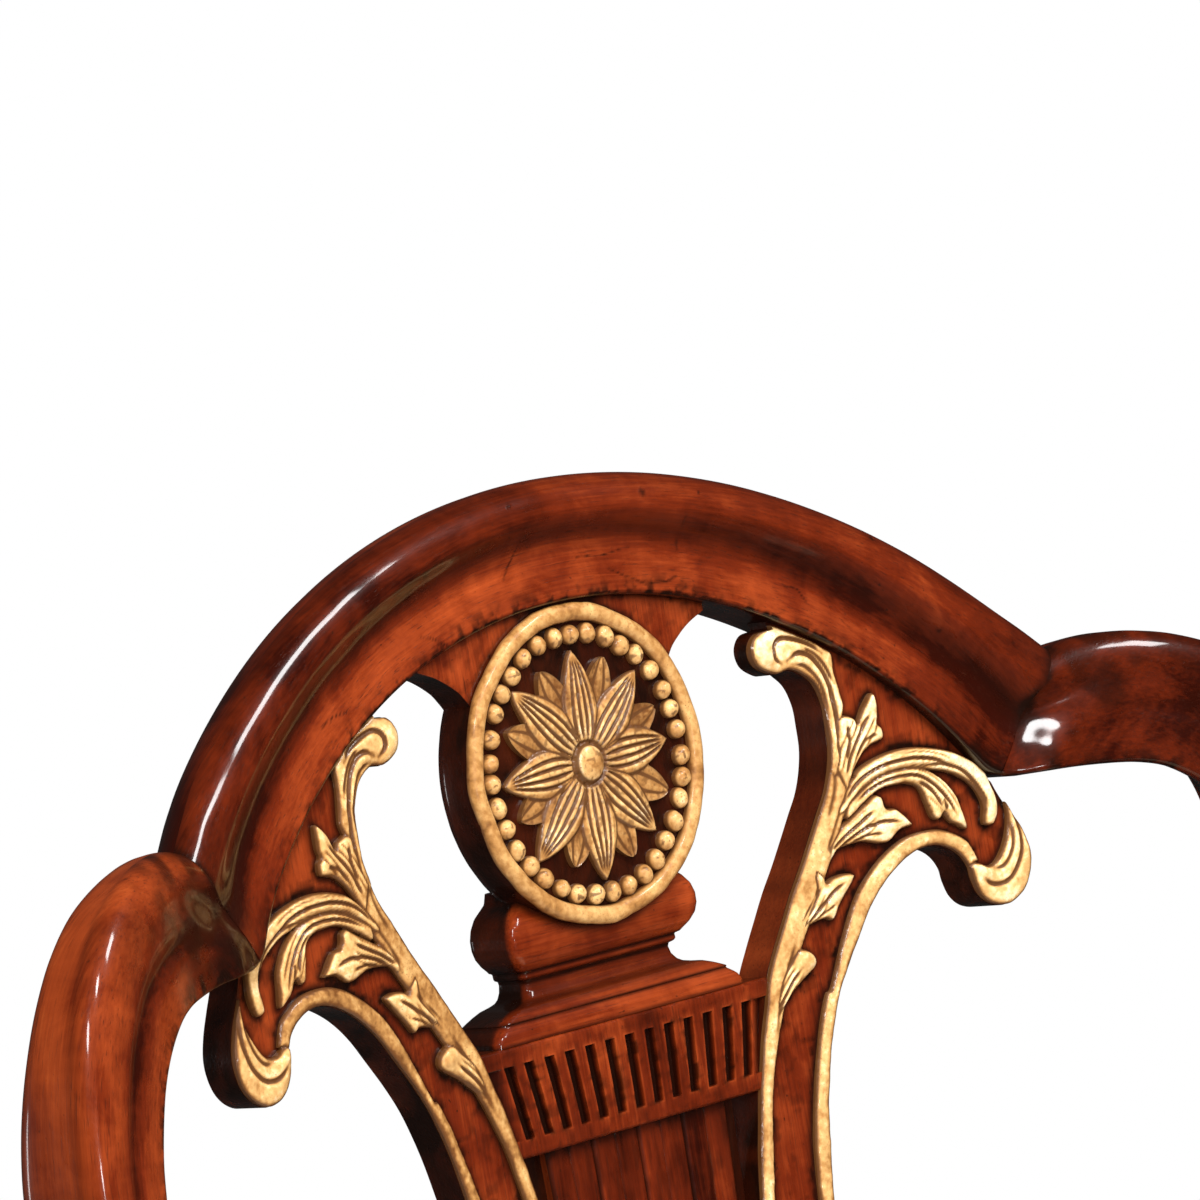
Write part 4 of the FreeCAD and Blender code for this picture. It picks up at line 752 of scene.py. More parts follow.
# painted shade: band and hollow darker towards both cusps, where crest and shoulders meet
tone = RAIL_LIGHT_SHADE[None, :] - (0.40 * np.exp(-(mitre / 85) ** 2) + 0.30 * np.exp(-(mitre / 26) ** 2))[:, None] * sstep(20, 40, RK)[None, :]
tone = tone - 0.42 * np.exp(-((RK - 33) / 6.0) ** 2)[None, :] * np.exp(-(mitre / 85) ** 2)[:, None]
tube(crest, back(uv[..., 0], uv[..., 1], nn), gr, paint, tone, caps=(False, False))
ROWS = 220
for side in (1, -1):
    so = even(spline(np.array(SHOULDER_OUT), 400), ROWS) * SC
    si = rounded(even(spline(np.array(SHOULDER_IN)[::-1], 400), ROWS) * SC, ROUND_B, ROUND_A)
    share = np.linspace(0, 1, ROWS)
    start = 0.6 if side < 0 else 0.0
    soft = start + (1 - start) * sstep(0.0, 0.17, share)[:, None]
    full = sstep(0.0, 0.50, share)[:, None]
    mixw = np.where(FACE[None, :], soft, full)
    w = RW[None, :] * (1 - mixw) + TW[None, :] * mixw
    n = RN[None, :] * (1 - mixw) + TN[None, :] * mixw
    depth = CREST_THICK + STILE_MORE * sstep(0.35, 1.0, share)[:, None]
    n = np.where(n < EDGE_N, EDGE_N + (n - EDGE_N) * (depth + EDGE_N) / (CREST_THICK + EDGE_N), n)
    uvs = (so[:, None, :] + (si - so)[:, None, :] * w[..., None]) * np.array([side, 1.0])
    groove = np.exp(-((w - 0.56) / 0.075) ** 2) * sstep(0.10, 0.40, share)[:, None]      # shallow channel down the stile
    nn = crest_n(uvs[..., 0]) + n - 1.1 * groove * FACE[None, :]
    nn = nn + (0.5 * crest_wave(uvs + 500.0) * sstep(0, 14, share * 156)[:, None] * (1 - boss(uvs[..., 0], uvs[..., 1]) / 3.3) + boss(uvs[..., 0], uvs[..., 1])) * WAVY[None, :]
    s = np.linspace(0, 0.16, ROWS)
    paint = crest_paint(uvs, w, RD[None, :] * (1 - soft) + TD[None, :] * soft, s)
    far = s * 1000
    mott = vnoise(uvs.reshape(-1, 2), 14.0, 31).reshape(nn.shape) * 0.6 + vnoise(uvs.reshape(-1, 2), 5.0, 32).reshape(nn.shape) * 0.4
    paint = paint + (np.exp(-(far / 2.2) ** 2) * 0.45)[:, None] * (FACE * sstep(0.80, 0.45, RW))[None, :]
    paint = paint + (np.exp(-(far / 60) ** 2))[:, None] * FACE[None, :] * sstep(0.40, 0.72, mott) * 0.70
    # painted shade: the left shoulder darker at its joint with the crest
    if side < 0:
        paint = paint + 0.60 * np.exp(-(far / 30) ** 2)[:, None] * FACE[None, :] * sstep(0.18, 0.50, w) * sstep(0.20, 0.55, mott)
    paint = np.clip(paint, 0, 1)
    # painted light and shade: the right shoulder darker all over; the left paler, with a dark line down the groove and
    # a dark patch at the joint
    tone = -0.40 + 0.12 * RAIL_LIGHT_SHADE[None, :] + 0 * nn if side > 0 else 0.16 - 0.80 * np.exp(-((w - 0.57) / 0.12) ** 2) - 0.14 * sstep(0.62, 0.76, w) - 1.05 * np.exp(-(far / 46) ** 2)[:, None] * sstep(0.10, 0.40, w) + 0 * nn
    gr = np.stack([np.broadcast_to(s[:, None] + 1.3 + side, nn.shape), w * 0.04 + 0.2, nn * 1e-3], -1)
    tube(crest, back(uvs[..., 0], uvs[..., 1], nn), gr, paint, tone, caps=(False, True))
crest_ob = crest.object("crest_rail_carved", WOOD, sharp=38)
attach(crest_ob, "frame")
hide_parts("crest_rail")


# ------------------------------------------------------------------ lyre arms: wooden ground and gilded carving
def mm(points):
    return np.asarray(points, float) * SC


def shifted(points):
    """Points measured on the flat picture of the back moved to their true place on the bowed arm."""
    p = np.asarray(points, float).copy()
    p[:, 0] += np.interp(p[:, 0], [50, 85, 105, 130, 150, 190], [3.5, 3.0, 1.8, 0.5, 0.3, 0.8])
    return p


ARC = [(217 * math.cos(a), -160 + 217 * math.sin(a)) for a in np.linspace(A_IN, math.acos(95.0 / 217), 40)]
ARM_IN_LINE = spline(ARM_IN, 520)
ARM_OUT_LINE = spline(ARM_OUT, 560)
BODY = mm(np.vstack([ARM_IN_LINE, ARM_OUT_LINE, ARC]))
RECESS = 2.7


def body_sdf(P):
    return inside_distance(P, BODY)


GILT_PARTS = []


def part(outline, H=2.4, R=3.0, edge=0.42, cuts=(), lifts=(), true=False, samples=160, sharp=False, veins=0.0, run=0):
    p = np.asarray(outline, float)
    if not true:
        p = shifted(p)
    if not sharp:
        p = even(spline(p, samples * 3, closed=True), samples, closed=True)
    lines = []
    for c in cuts:
        pts, depth, width = c
        q = np.asarray(pts, float)
        q = q if true else shifted(q)
        lines.append((even(spline(q, 120), 26) * SC, depth, width))
    GILT_PARTS.append({"veins": veins, "run": run or len(GILT_PARTS) + 10, "poly": p * SC, "H": H * 1.12, "R": R * 1.35, "edge": edge * 0.85, "cuts": lines,
                       "lifts": [(np.asarray(shifted([c])[0] if not true else c, float) * SC, r, a) for c, r, a in lifts]})


# upper scroll and its two strands
volute_top = [(95, 32.6), (88.5, 30.6), (85, 27), (84.6, 22.5), (87, 18.5), (93.5, 15.3), (100, 15.8), (105, 13.6), (109.5, 9.3),
              (112, 2), (112.3, -6), (112, -14), (110, -22), (113, -25), (116.2, -20), (116.8, -12), (119.5, -4), (120.7, 0), (120, 5),
              (119, 12), (119, 18.6), (116.2, 21), (111.5, 24.3), (106.8, 26.9), (102, 29.4)]
part(volute_top, H=2.5, R=3.4, edge=0.38, true=True, samples=260, run=1,
     cuts=[([(96.5, 18.5), (93.5, 21), (93.5, 25), (97, 27.4), (103, 26.4), (110, 23.2), (114, 19.5)], 1.2, 0.85),
           ([(99, 19.3), (103.5, 21.2), (108.5, 19.6), (112.6, 14.5), (115, 8), (116, 1), (116.2, -7), (115, -15)], 1.3, 0.95),
           ([(106, 23), (111, 19.8), (114.8, 14.5), (117.2, 8)], 0.7, 0.7),
           ([(101, 17.6), (106, 16.2), (110.3, 11.5), (112.8, 5), (113.8, -3)], 0.55, 0.7)],
     lifts=[((90, 22.5), 5.0, 1.9), ((92.5, 28), 3.5, 0.5), ((104, 19.5), 4.0, 0.5), ((112, 10), 4.0, 0.4)])
# stem down the inner edge
stem_right = [(117.2, -20), (116.0, -34), (112, -41), (107.5, -49), (100, -60), (93.5, -70), (86, -81), (78.8, -92), (74.8, -99), (71.2, -106),
              (68.2, -113), (65, -121), (62.6, -129.5), (60.6, -138), (59.2, -146)]
low_right = [(x + 6.2, y) for x, y in ARM_IN[28:]]
stem_left = [p for p in ARM_IN if p[1] < -8]
stem = np.vstack([spline(stem_left, 300), spline((stem_right + low_right)[::-1], 300), [(116.4, -12)]])
part(stem, H=2.2, R=2.9, edge=0.38, true=True, sharp=True, run=1,
     cuts=[([(112.8, -18), (110.3, -29), (105.0, -39)], 0.35, 0.9), ([(113.5, -33), (108, -41.5), (102, -51)], 0.30, 0.8),
           ([(84, -77), (77.5, -87), (72, -98), (68, -108)], 0.30, 0.8)])
# leaf with three points beside the stem
part([(109.5, -22), (112.5, -15), (114.3, -9), (115.5, -4.8), (118.6, -3.9), (123, -5.5), (124.5, -7.5), (128, -2.5), (132.5, 1.8),
      (133.8, 0), (133.8, -6), (133, -9), (134.5, -11), (134.5, -14.5), (132, -15.5), (128, -16.5), (124, -19), (120, -23), (117, -27), (114, -30)],
     veins=0.20, H=2.7, R=3.6, edge=0.36,
     cuts=[([(114.5, -25), (119, -17), (124, -11), (130, -4.5)], 0.55, 0.8), ([(118.5, -7), (118.5, -13), (116, -20)], 0.8, 0.7),
           ([(132, -12.5), (126, -14), (120.5, -19.5)], 0.5, 0.7)],
     lifts=[((131.5, -1.5), 4.0, 0.7), ((120, -5), 3.5, 0.5), ((133, -12.5), 3.0, 0.5)])
# long outer leaf sweeping over to the lower scroll
part([(108, -37), (112, -31.5), (116, -28), (122, -23.5), (130, -21), (138, -19.8), (146, -20), (154, -21.5), (162, -24), (168, -27), (173, -30.5),
      (176.5, -35), (178.5, -41), (179, -46), (178, -50.5), (176, -53.5), (173, -53), (172.5, -51), (173.5, -46), (172, -41), (169, -37),
      (165, -34), (160, -31.5), (155, -30), (147, -28), (139, -27), (131, -27.8), (124, -30), (117, -33.5), (111, -38)],
     veins=0.24, H=2.9, R=3.0, edge=0.34, samples=240,
     cuts=[([(112, -34), (119, -28.2), (127, -25), (136, -23.6), (146, -23.9), (155, -26), (162, -29.5)], 0.9, 0.7),
           ([(150, -27.0), (158, -28.3), (165, -31.3), (170, -36), (173.5, -42), (174.8, -48)], 0.8, 0.6)],
     lifts=[((176, -48), 5.0, 0.7), ((140, -21.5), 9.0, 0.35)])
# second leaf under it
part([(113, -35), (119, -31.8), (125, -29), (132, -27), (140, -26.5), (147, -27), (153, -30), (158, -34), (161, -38), (163, -42), (164, -48), (164.5, -53),
      (161, -51), (158, -49), (156, -46), (155, -45.5), (153, -47.5), (150.5, -46), (149, -41), (147, -35), (142, -32.5), (137, -32),
      (132, -32), (127, -33.2), (120, -36.5), (113, -40)],
     veins=0.22, H=2.8, R=2.8, edge=0.34, samples=240,
     cuts=[([(117, -34.8), (124, -31.6), (132, -29.6), (140, -29.2), (147, -30.6), (153, -35), (157.5, -41), (160.5, -47.5)], 0.9, 0.6),
           ([(146, -32), (150.5, -35.5), (153, -40), (154.5, -44)], 0.8, 0.6),
           ([(155.5, -40), (156.8, -44.5)], 0.6, 0.6)],
     lifts=[((163, -50), 4.0, 0.6), ((153, -44.5), 3.5, 0.5)])
# third leaf
part([(101, -49), (103, -47), (108, -43), (114, -40), (120, -37), (126, -34), (129, -34.8), (130, -38), (131.5, -39.5), (134.5, -40), (137, -42), (140, -45.5),
      (141.5, -47.2), (137, -47.5), (134, -48.5), (130, -51), (126, -51), (122, -50), (118, -49), (112, -49), (106, -50), (102, -53)],
     veins=0.22, H=2.8, R=3.0, edge=0.34, samples=200,
     cuts=[([(103, -49.5), (110, -45.5), (117, -42.3), (124, -39)], 0.9, 0.65), ([(106, -49.5), (114, -46), (122, -44), (129, -43.6), (136, -45)], 0.9, 0.6),
           ([(112, -48.2), (120, -47), (127, -47.6)], 0.6, 0.5)],
     lifts=[((127.5, -36), 3.2, 0.6), ((137, -44), 4.0, 0.6), ((128, -49.5), 3.0, 0.3)])
# fourth leaf
part([(75, -84), (77, -81), (85, -69), (92, -62), (93.5, -56), (94.5, -54.8), (97.5, -57.5), (98.8, -60), (102, -59), (107, -58.5), (111.5, -59.5),
      (110, -62), (107, -65), (103, -69), (99, -73.5), (96, -72.5), (91, -73), (86, -74.5), (82, -78), (78, -82), (74, -89)],
     veins=0.22, H=2.7, R=3.2, edge=0.34, samples=200,
     cuts=[([(77, -83), (84, -73.5), (90, -67), (95, -61.5)], 0.9, 0.65), ([(79, -82), (87, -73), (94, -68), (101, -63.5), (107, -60.8)], 0.9, 0.65),
           ([(88, -73.3), (95, -70.2), (101, -68)], 0.45, 0.5)],
     lifts=[((94.5, -57.5), 3.0, 0.6), ((107, -60.5), 4.0, 0.6), ((98.5, -71.5), 3.0, 0.4)])
# small leaf with a round tip
part([(64.5, -104), (65.7, -101), (69.3, -91.4), (74.5, -85.5), (79.6, -81.1), (83.3, -81.1), (87, -83.3), (88.4, -86.2), (87, -88.4), (83.3, -90.6),
      (78.2, -93.6), (73.7, -97.2), (69.3, -101), (64.9, -106), (62, -113.4), (60.5, -118)],
     veins=0.20, H=2.8, R=3.4, edge=0.36,
     cuts=[([(63.5, -108), (68, -99.5), (73.5, -93), (80, -87.5)], 0.8, 0.65), ([(65, -107), (71, -99), (77.5, -93.2)], 0.5, 0.55)],
     lifts=[((84, -85), 4.0, 0.9)])
# bead along the outer edge
bead_in = shifted([(168, -65), (165, -58), (160, -54), (153, -51), (145, -50.3), (138, -51), (132, -53), (126, -56), (120, -60), (114, -65), (109, -71),
                   (104, -79), (100, -86), (94, -97), (91.4, -98.7), (87, -107.5), (83.3, -117.8), (79.6, -129.5), (76, -144), (74.9, -150)])
bead_out = [p for p in ARM_OUT if p[0] < 164 and p[1] < -50][::-1]
low_in = [(x - 6.4, y) for x, y in ARM_OUT[:11]][::-1]
bead = np.vstack([spline(bead_out, 360), spline(np.vstack([bead_in, low_in])[::-1], 360)])
part(bead, H=2.0, R=2.6, edge=0.36, true=True, sharp=True)
# lower scroll
scroll = [p for p in ARM_OUT if p[0] > 163.4 and p[1] < -42]
part(np.vstack([spline(scroll, 160), spline([(183.2, -43.5), (184.2, -50), (182.8, -57), (179.5, -63), (175.5, -67), (171.5, -67.6), (168, -66), (165.2, -65.2)], 80)]),
     H=2.6, R=3.4, edge=0.40, true=True, sharp=True,
     cuts=[([(166.5, -70), (171.5, -74.2), (178.5, -74.2), (184, -69.5), (187, -62.5), (187, -54.5), (185, -48)], 0.75, 0.85),
           ([(173.5, -69), (178, -68.6), (182, -64.5), (184.2, -58.5), (184.6, -52)], 0.55, 0.75)],
     lifts=[((168.5, -69.5), 3.6, 1.3), ((183.5, -64), 5.0, 0.4), ((176, -78), 5.0, 0.4)])


def gilt_sdf(P):
    d = np.full(len(P), -6.0)
    for g in GILT_PARTS:
        d = np.maximum(d, inside_distance(P, g["poly"]))
    return np.minimum(d, body_sdf(P) - 0.25)


def gilt_top(P, d):
    best = np.full(len(P), -9.0)
    second = np.full(len(P), -9.0)
    dirt = np.zeros(len(P))
    run = np.zeros(len(P), int)
    for g in GILT_PARTS:
        di = inside_distance(P, g["poly"])
        m = di > -0.35
        if not m.any():
            continue
        Q, dq = P[m], np.maximum(di[m], 0)
        t = np.clip(dq / g["R"], 0, 1)
        h = g["H"] * (g["edge"] + (1 - g["edge"]) * np.sqrt(np.maximum(0, 1 - (1 - t) ** 2)))
        grime = np.exp(-(dq / 0.9) ** 2) * 0.55
        for line, depth, width in g["cuts"]:
            gd, where = line_distance(Q, line)
            taper = sstep(0, 0.16, where) * sstep(1.0, 0.80, where) * 0.75 + 0.25
            cut = np.exp(-(gd / width) ** 2) * taper
            h = h - depth * cut
            grime = np.maximum(grime, cut * min(1.0, 0.20 + 0.75 * depth))
        for c, r, amount in g["lifts"]:
            h = h + amount * np.exp(-((Q - c) ** 2).sum(1) / r ** 2)
        if g["veins"]:
            gd, where, hand = line_distance(Q, g["cuts"][0][0], True)
            wave = np.cos(2 * np.pi * gd / 2.3 + 0.5 * hand + np.pi)
            on = sstep(0.55, 1.5, dq) * sstep(0.0, 0.12, where) * sstep(1.0, 0.88, where) * sstep(7.0, 5.0, gd)
            h = h + g["veins"] * wave * on
            grime = np.maximum(grime, sstep(-0.25, -0.95, wave) * on * 0.42)
        old = best[m]
        up = h > old
        same = run[m] == g["run"]
        second[m] = np.where(same, second[m], np.where(up, old, np.maximum(second[m], h)))
        run[m] = np.where(up, g["run"], run[m])
        best[m] = np.where(up, h, old)
        dd = dirt[m]
        dd[up] = grime[up]
        dirt[m] = dd
    valley = np.exp(-((best - second) / 0.34) ** 2) * (second > -5)
    dirt = np.maximum(dirt, valley * 0.75)
    wob = (vnoise(P, 3.4, 41) - 0.5) * 0.30 + (vnoise(P, 1.3, 42) - 0.5) * 0.12
    best = np.maximum(best, 0.35)
    # painted highlight: the higher the carving stands, the paler the gold
    hi = sstep(1.3, 3.3, best) * 0.85 * (1 - np.clip(dirt, 0, 1)) - 0.12
    n = lyre_n(P[:, 0]) - RECESS + best + wob
    return n, np.clip(dirt, 0, 1), hi


def plane_grain(P, h):
    return np.stack([P[:, 1] * 1e-3, P[:, 0] * 1e-3, np.asarray(h) * 1e-3], 1)


def arm_ground(P, d):
    """Wooden ground between the carving: hollow, dark with old glaze close to the gold."""
    g = gilt_sdf(P)
    grime = np.exp(-(np.maximum(-g, 0) / 2.3) ** 2) * 0.96
    arc = np.hypot(P[:, 0], P[:, 1] + 160 * SC)
    crest_edge = np.exp(-((216 * SC - arc) / 2.6) ** 2) * 0.75
    mott = vnoise(P, 5.0, 51) * 0.6 + vnoise(P, 1.7, 52) * 0.4
    dirt = np.maximum(grime, crest_edge) + sstep(0.56, 0.72, mott) * 0.35
    wob = (vnoise(P, 11.0, 53) - 0.5) * 0.22 + (vnoise(P, 2.6, 54) - 0.5) * 0.05
    return lyre_n(P[:, 0]) - RECESS - 0.15 + wob, np.clip(dirt, 0, 1), np.full(len(P), -0.06)


UB = (BODY[:, 0].min() - 2, -402 * SC, BODY[:, 0].max() + 2, BODY[:, 1].max() + 2)
arm_body = Shape()


def arm_wall(R, t):
    """Side walls of an arm: dark glaze, painted light along the inner curve, paler lower down."""
    inner, _ = line_distance(R, ARM_IN_LINE[::3] * SC)
    lit = np.exp(-((R[:, 1] + 74) / 46) ** 2) * (inner < 1.2)
    low = sstep(-150, -210, R[:, 1])
    return np.clip(1.02 - 0.40 * lit - 0.45 * low + (vnoise(R, 7.0, 57) - 0.5) * 0.3 - 0.06 * t, 0, 1)


VOLUTE = np.array([90.0, 23.5]) * SC


def arm_back(P):
    """Back of an arm: 16 mm thick, cut away behind the upper scroll."""
    near = np.exp(-(((P - VOLUTE) ** 2).sum(1) / 13.0 ** 2) ** 1.5)
    return lyre_n(P[:, 0]) - 16.0 + 8.0 * near


plate(arm_body, body_sdf, arm_ground, arm_back, UB, 0.8, plane_grain, wall_dirt=arm_wall, wall_rows=5)
gilt = Shape()
plate(gilt, gilt_sdf, gilt_top, lambda P: lyre_n(P[:, 0]) - RECESS - 1.2, UB, 0.55, plane_grain, wall_dirt=0.85, wall_rows=1, relief_shade=(9, 2.2, 2.6))
for side, tag in ((1, "right"), (-1, "left")):
    ob = arm_body.object("lyre_arm_ground_" + tag, WOOD, mirror=side < 0)
    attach(ob, "frame")
    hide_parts("lyre_arm_" + tag)
    # painted shade on the left arm's gilding, painted light on the right
    ob = gilt.object("lyre_arm_gilding_" + tag, GILT, mirror=side < 0, sharp=60, shade=0.08 if side > 0 else -0.27)
    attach(ob, "frame")

# ------------------------------------------------------------------ medallion
disc = Shape()
ANG = np.linspace(0, 2 * math.pi, 240, endpoint=False)
RIM = 52.25


def lathe(shape, prof, dirt, n_ang=240, wob=0.0, hi=0.0, seed=61):
    """Rings turned about the boss: prof rows of (radius, n)."""
    ang = np.linspace(0, 2 * math.pi, n_ang, endpoint=False)
    prof = np.asarray(prof, float)
    rr = prof[:, 0][:, None] * np.ones(n_ang)[None]
    nn = prof[:, 1][:, None] * np.ones(n_ang)[None]
    if wob:
        q = np.column_stack([np.cos(ang) * 40, np.sin(ang) * 40])
        w = (vnoise(q, 9.0, seed) - 0.5) * wob + (vnoise(q, 3.2, seed + 1) - 0.5) * wob * 0.35
        rr = rr + w[None] * np.clip((prof[:, 0] - 40) / 10, 0, 1)[:, None]
        nn = nn + (vnoise(q, 7.0, seed + 2) - 0.5)[None] * wob * 0.5
    u, v = rr * np.cos(ang), rr * np.sin(ang)
    d = np.broadcast_to(np.asarray(dirt, float)[:, None] if np.ndim(dirt) else dirt, rr.shape)
    h = np.broadcast_to(np.asarray(hi, float)[:, None] if np.ndim(hi) else hi, rr.shape)
    gr = np.stack([v * 1e-3, u * 1e-3, nn * 1e-3], -1)
    q = grid_quads(len(prof), n_ang, True)
    shape.add(back(u, v, nn).reshape(-1, 3), q, (), gr.reshape(-1, 3), d.ravel(), h.ravel())


# wooden drum with its dark ground
prof, dd = [(46.6, -3.6)], [0.9]
for t in np.linspace(0, 1, 10):
    prof.append((46.4 * (1 - t) + 0.01 * t, -2.9 - 0.25 * math.sin(t * 9)))
    dd.append(0.96)
drum_front = prof[::-1]
lathe(disc, drum_front, dd[::-1], 160)
side_wall = [(47.0, -1.2), (50.9, -1.2), (51.6, -2.4), (51.9, -5.0), (52.0, -9.0), (52.1, -13.0), (51.6, -16.4), (50.2, -17.5)]
lathe(disc, side_wall, [0.9, 0.9, 0.97, 0.97, 0.96, 0.93, 0.85, 0.6], 240, 0.35)
back_face = [(50.2, -17.5), (40.0, -17.6), (20.0, -17.6), (0.01, -17.6)]
lathe(disc, back_face, [0.4, 0.15, 0.15, 0.15], 120)

# neck up to the crest
neck_r = spline([(46.0, 26), (49, 30.2), (52.5, 34), (60, 39), (68.5, 42.5)], 60)
neck_arc = [(217 * math.sin(a), -160 + 217 * math.cos(a)) for a in np.linspace(math.asin(68.5 / 217), -math.asin(68.5 / 217), 60)]
NECK = mm(np.vstack([neck_r, neck_arc, neck_r[::-1] * [-1, 1]]))


def neck_top(P, d):
    arc = np.hypot(P[:, 0], P[:, 1] + 160 * SC)
    r = np.hypot(P[:, 0], P[:, 1])
    # painted shadow under the crest's edge and beside the rim
    dirt = np.exp(-((216 * SC - arc) / 1.6) ** 2) * 0.85 + np.exp(-(np.maximum(r - 52.2, 0) / 1.8) ** 2) * 0.85
    dirt = dirt + sstep(0.60, 0.75, vnoise(P, 2.4, 71)) * 0.3
    edge = np.minimum(d, 1.5)
    n = -3.2 - 0.5 * (1 - edge / 1.5) ** 2 + (vnoise(P, 6.0, 72) - 0.5) * 0.3
    return n, np.clip(dirt, 0, 1), np.zeros(len(P))


plate(disc, lambda P: inside_distance(P, NECK), neck_top, lambda P: np.full(len(P), -16.7), (-68, 20, 68, 56), 0.8, plane_grain, 0.96, 3)
disc_ob = disc.object("medallion_drum", WOOD)
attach(disc_ob, "frame")
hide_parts("medallion")

# gilded rim, beads and flower
rosette = Shape()
prof, dd, hh = [], [], []
for t in np.linspace(0, 1, 18):
    a = math.pi * t
    r = 49.2 - 3.05 * math.cos(a)
    prof.append((r, -2.6 + 3.2 * math.sin(a) ** 0.80))
    dd.append(0.10 + 0.65 * math.exp(-(t / 0.16) ** 2) + 0.5 * math.exp(-((1 - t) / 0.07) ** 2))
    # painted highlight along the crown of the rim
    hh.append(0.30 * math.sin(a))
lathe(rosette, prof, dd, 300, 1.3, hh, 81)

rng = np.random.default_rng(17)
BEADS = 35
for b in range(BEADS):
    a = 2 * math.pi * (b + 0.5) / BEADS + rng.normal(0, 0.008)
    cr = 42.6 + rng.normal(0, 0.20)
    cu, cv = cr * math.cos(a), cr * math.sin(a)
    rad = 3.55 + rng.normal(0, 0.12)
    tall = 3.5 + rng.normal(0, 0.15)
    lat = np.linspace(0, 1, 11)
    ring = np.linspace(0, 2 * math.pi, 22, endpoint=False)
    rr = rad * np.sin(lat * math.pi / 2 * 1.06).clip(0.002)
    nz = -2.75 + tall * np.cos(lat * math.pi / 2 * 1.06)
    sq = 1 + 0.05 * np.sin(2 * ring + rng.uniform(0, 6))
    u = cu + rr[:, None] * np.cos(ring) * sq
    v = cv + rr[:, None] * np.sin(ring) * sq
    n = nz[:, None] + 0 * ring
    P = np.stack([u.ravel(), v.ravel()], 1)
    n = n + ((vnoise(P, 1.4, 90 + b) - 0.5) * 0.30).reshape(n.shape)
    # painted shade on the lower side of each bead towards its foot
    dirt = np.broadcast_to((sstep(0.50, 0.92, lat) * 0.98)[:, None], n.shape)
    pit = sstep(0.66, 0.80, vnoise(P, 1.1, 140 + b)).reshape(n.shape) * 0.55
    # painted highlight on the crown of each bead
    hi = np.broadcast_to((0.6 * (1 - lat))[:, None], n.shape)
    gr = np.stack([u, v, n], -1) * 1e-3
    rosette.add(back(u, v, n).reshape(-1, 3), grid_quads(11, 22, True), (), gr.reshape(-1, 3), np.maximum(dirt, pit).ravel(), hi.ravel())

PETALS = []
for k in range(8):
    a = math.pi / 2 + k * math.pi / 4 + rng.normal(0, 0.025)
    PETALS.append((a, 5.0, 38.4 + rng.normal(0, 0.7), 7.9 + rng.normal(0, 0.25), True))
for k in range(8):
    a = math.pi / 2 + (k + 0.5) * math.pi / 4 + rng.normal(0, 0.04)
    PETALS.append((a, 12.0, 36.0 + rng.normal(0, 0.9), 6.2 + rng.normal(0, 0.3), False))


def petal_half(x, r0, r1, w, large):
    """Half width of a petal at distance x from the middle of the flower."""
    t = np.clip((x - r0) / (r1 - r0), 0, 1)
    if large:
        return w * np.sin(np.pi * t ** 0.80) ** 0.72 * (1 - 0.10 * t)
    return w * np.sin(np.pi * (0.16 + 0.84 * t) ** 1.15) ** 0.62


def petal_sdf(P, p):
    a, r0, r1, w, large = p
    x = P[:, 0] * math.cos(a) + P[:, 1] * math.sin(a)
    y = -P[:, 0] * math.sin(a) + P[:, 1] * math.cos(a)
    half = petal_half(x, r0, r1, w, large)
    e = 0.4
    slope = (petal_half(x + e, r0, r1, w, large) - petal_half(x - e, r0, r1, w, large)) / (2 * e)
    d = (half - np.abs(y)) / np.sqrt(1 + slope ** 2)
    d = np.minimum(d, (r1 - x) * 0.9)
    d = np.minimum(d, x - r0)
    return d, x, y, half


def flower_sdf(P):
    d = 7.2 - np.hypot(P[:, 0], P[:, 1])
    for p in PETALS:
        d = np.maximum(d, petal_sdf(P, p)[0])
    return d


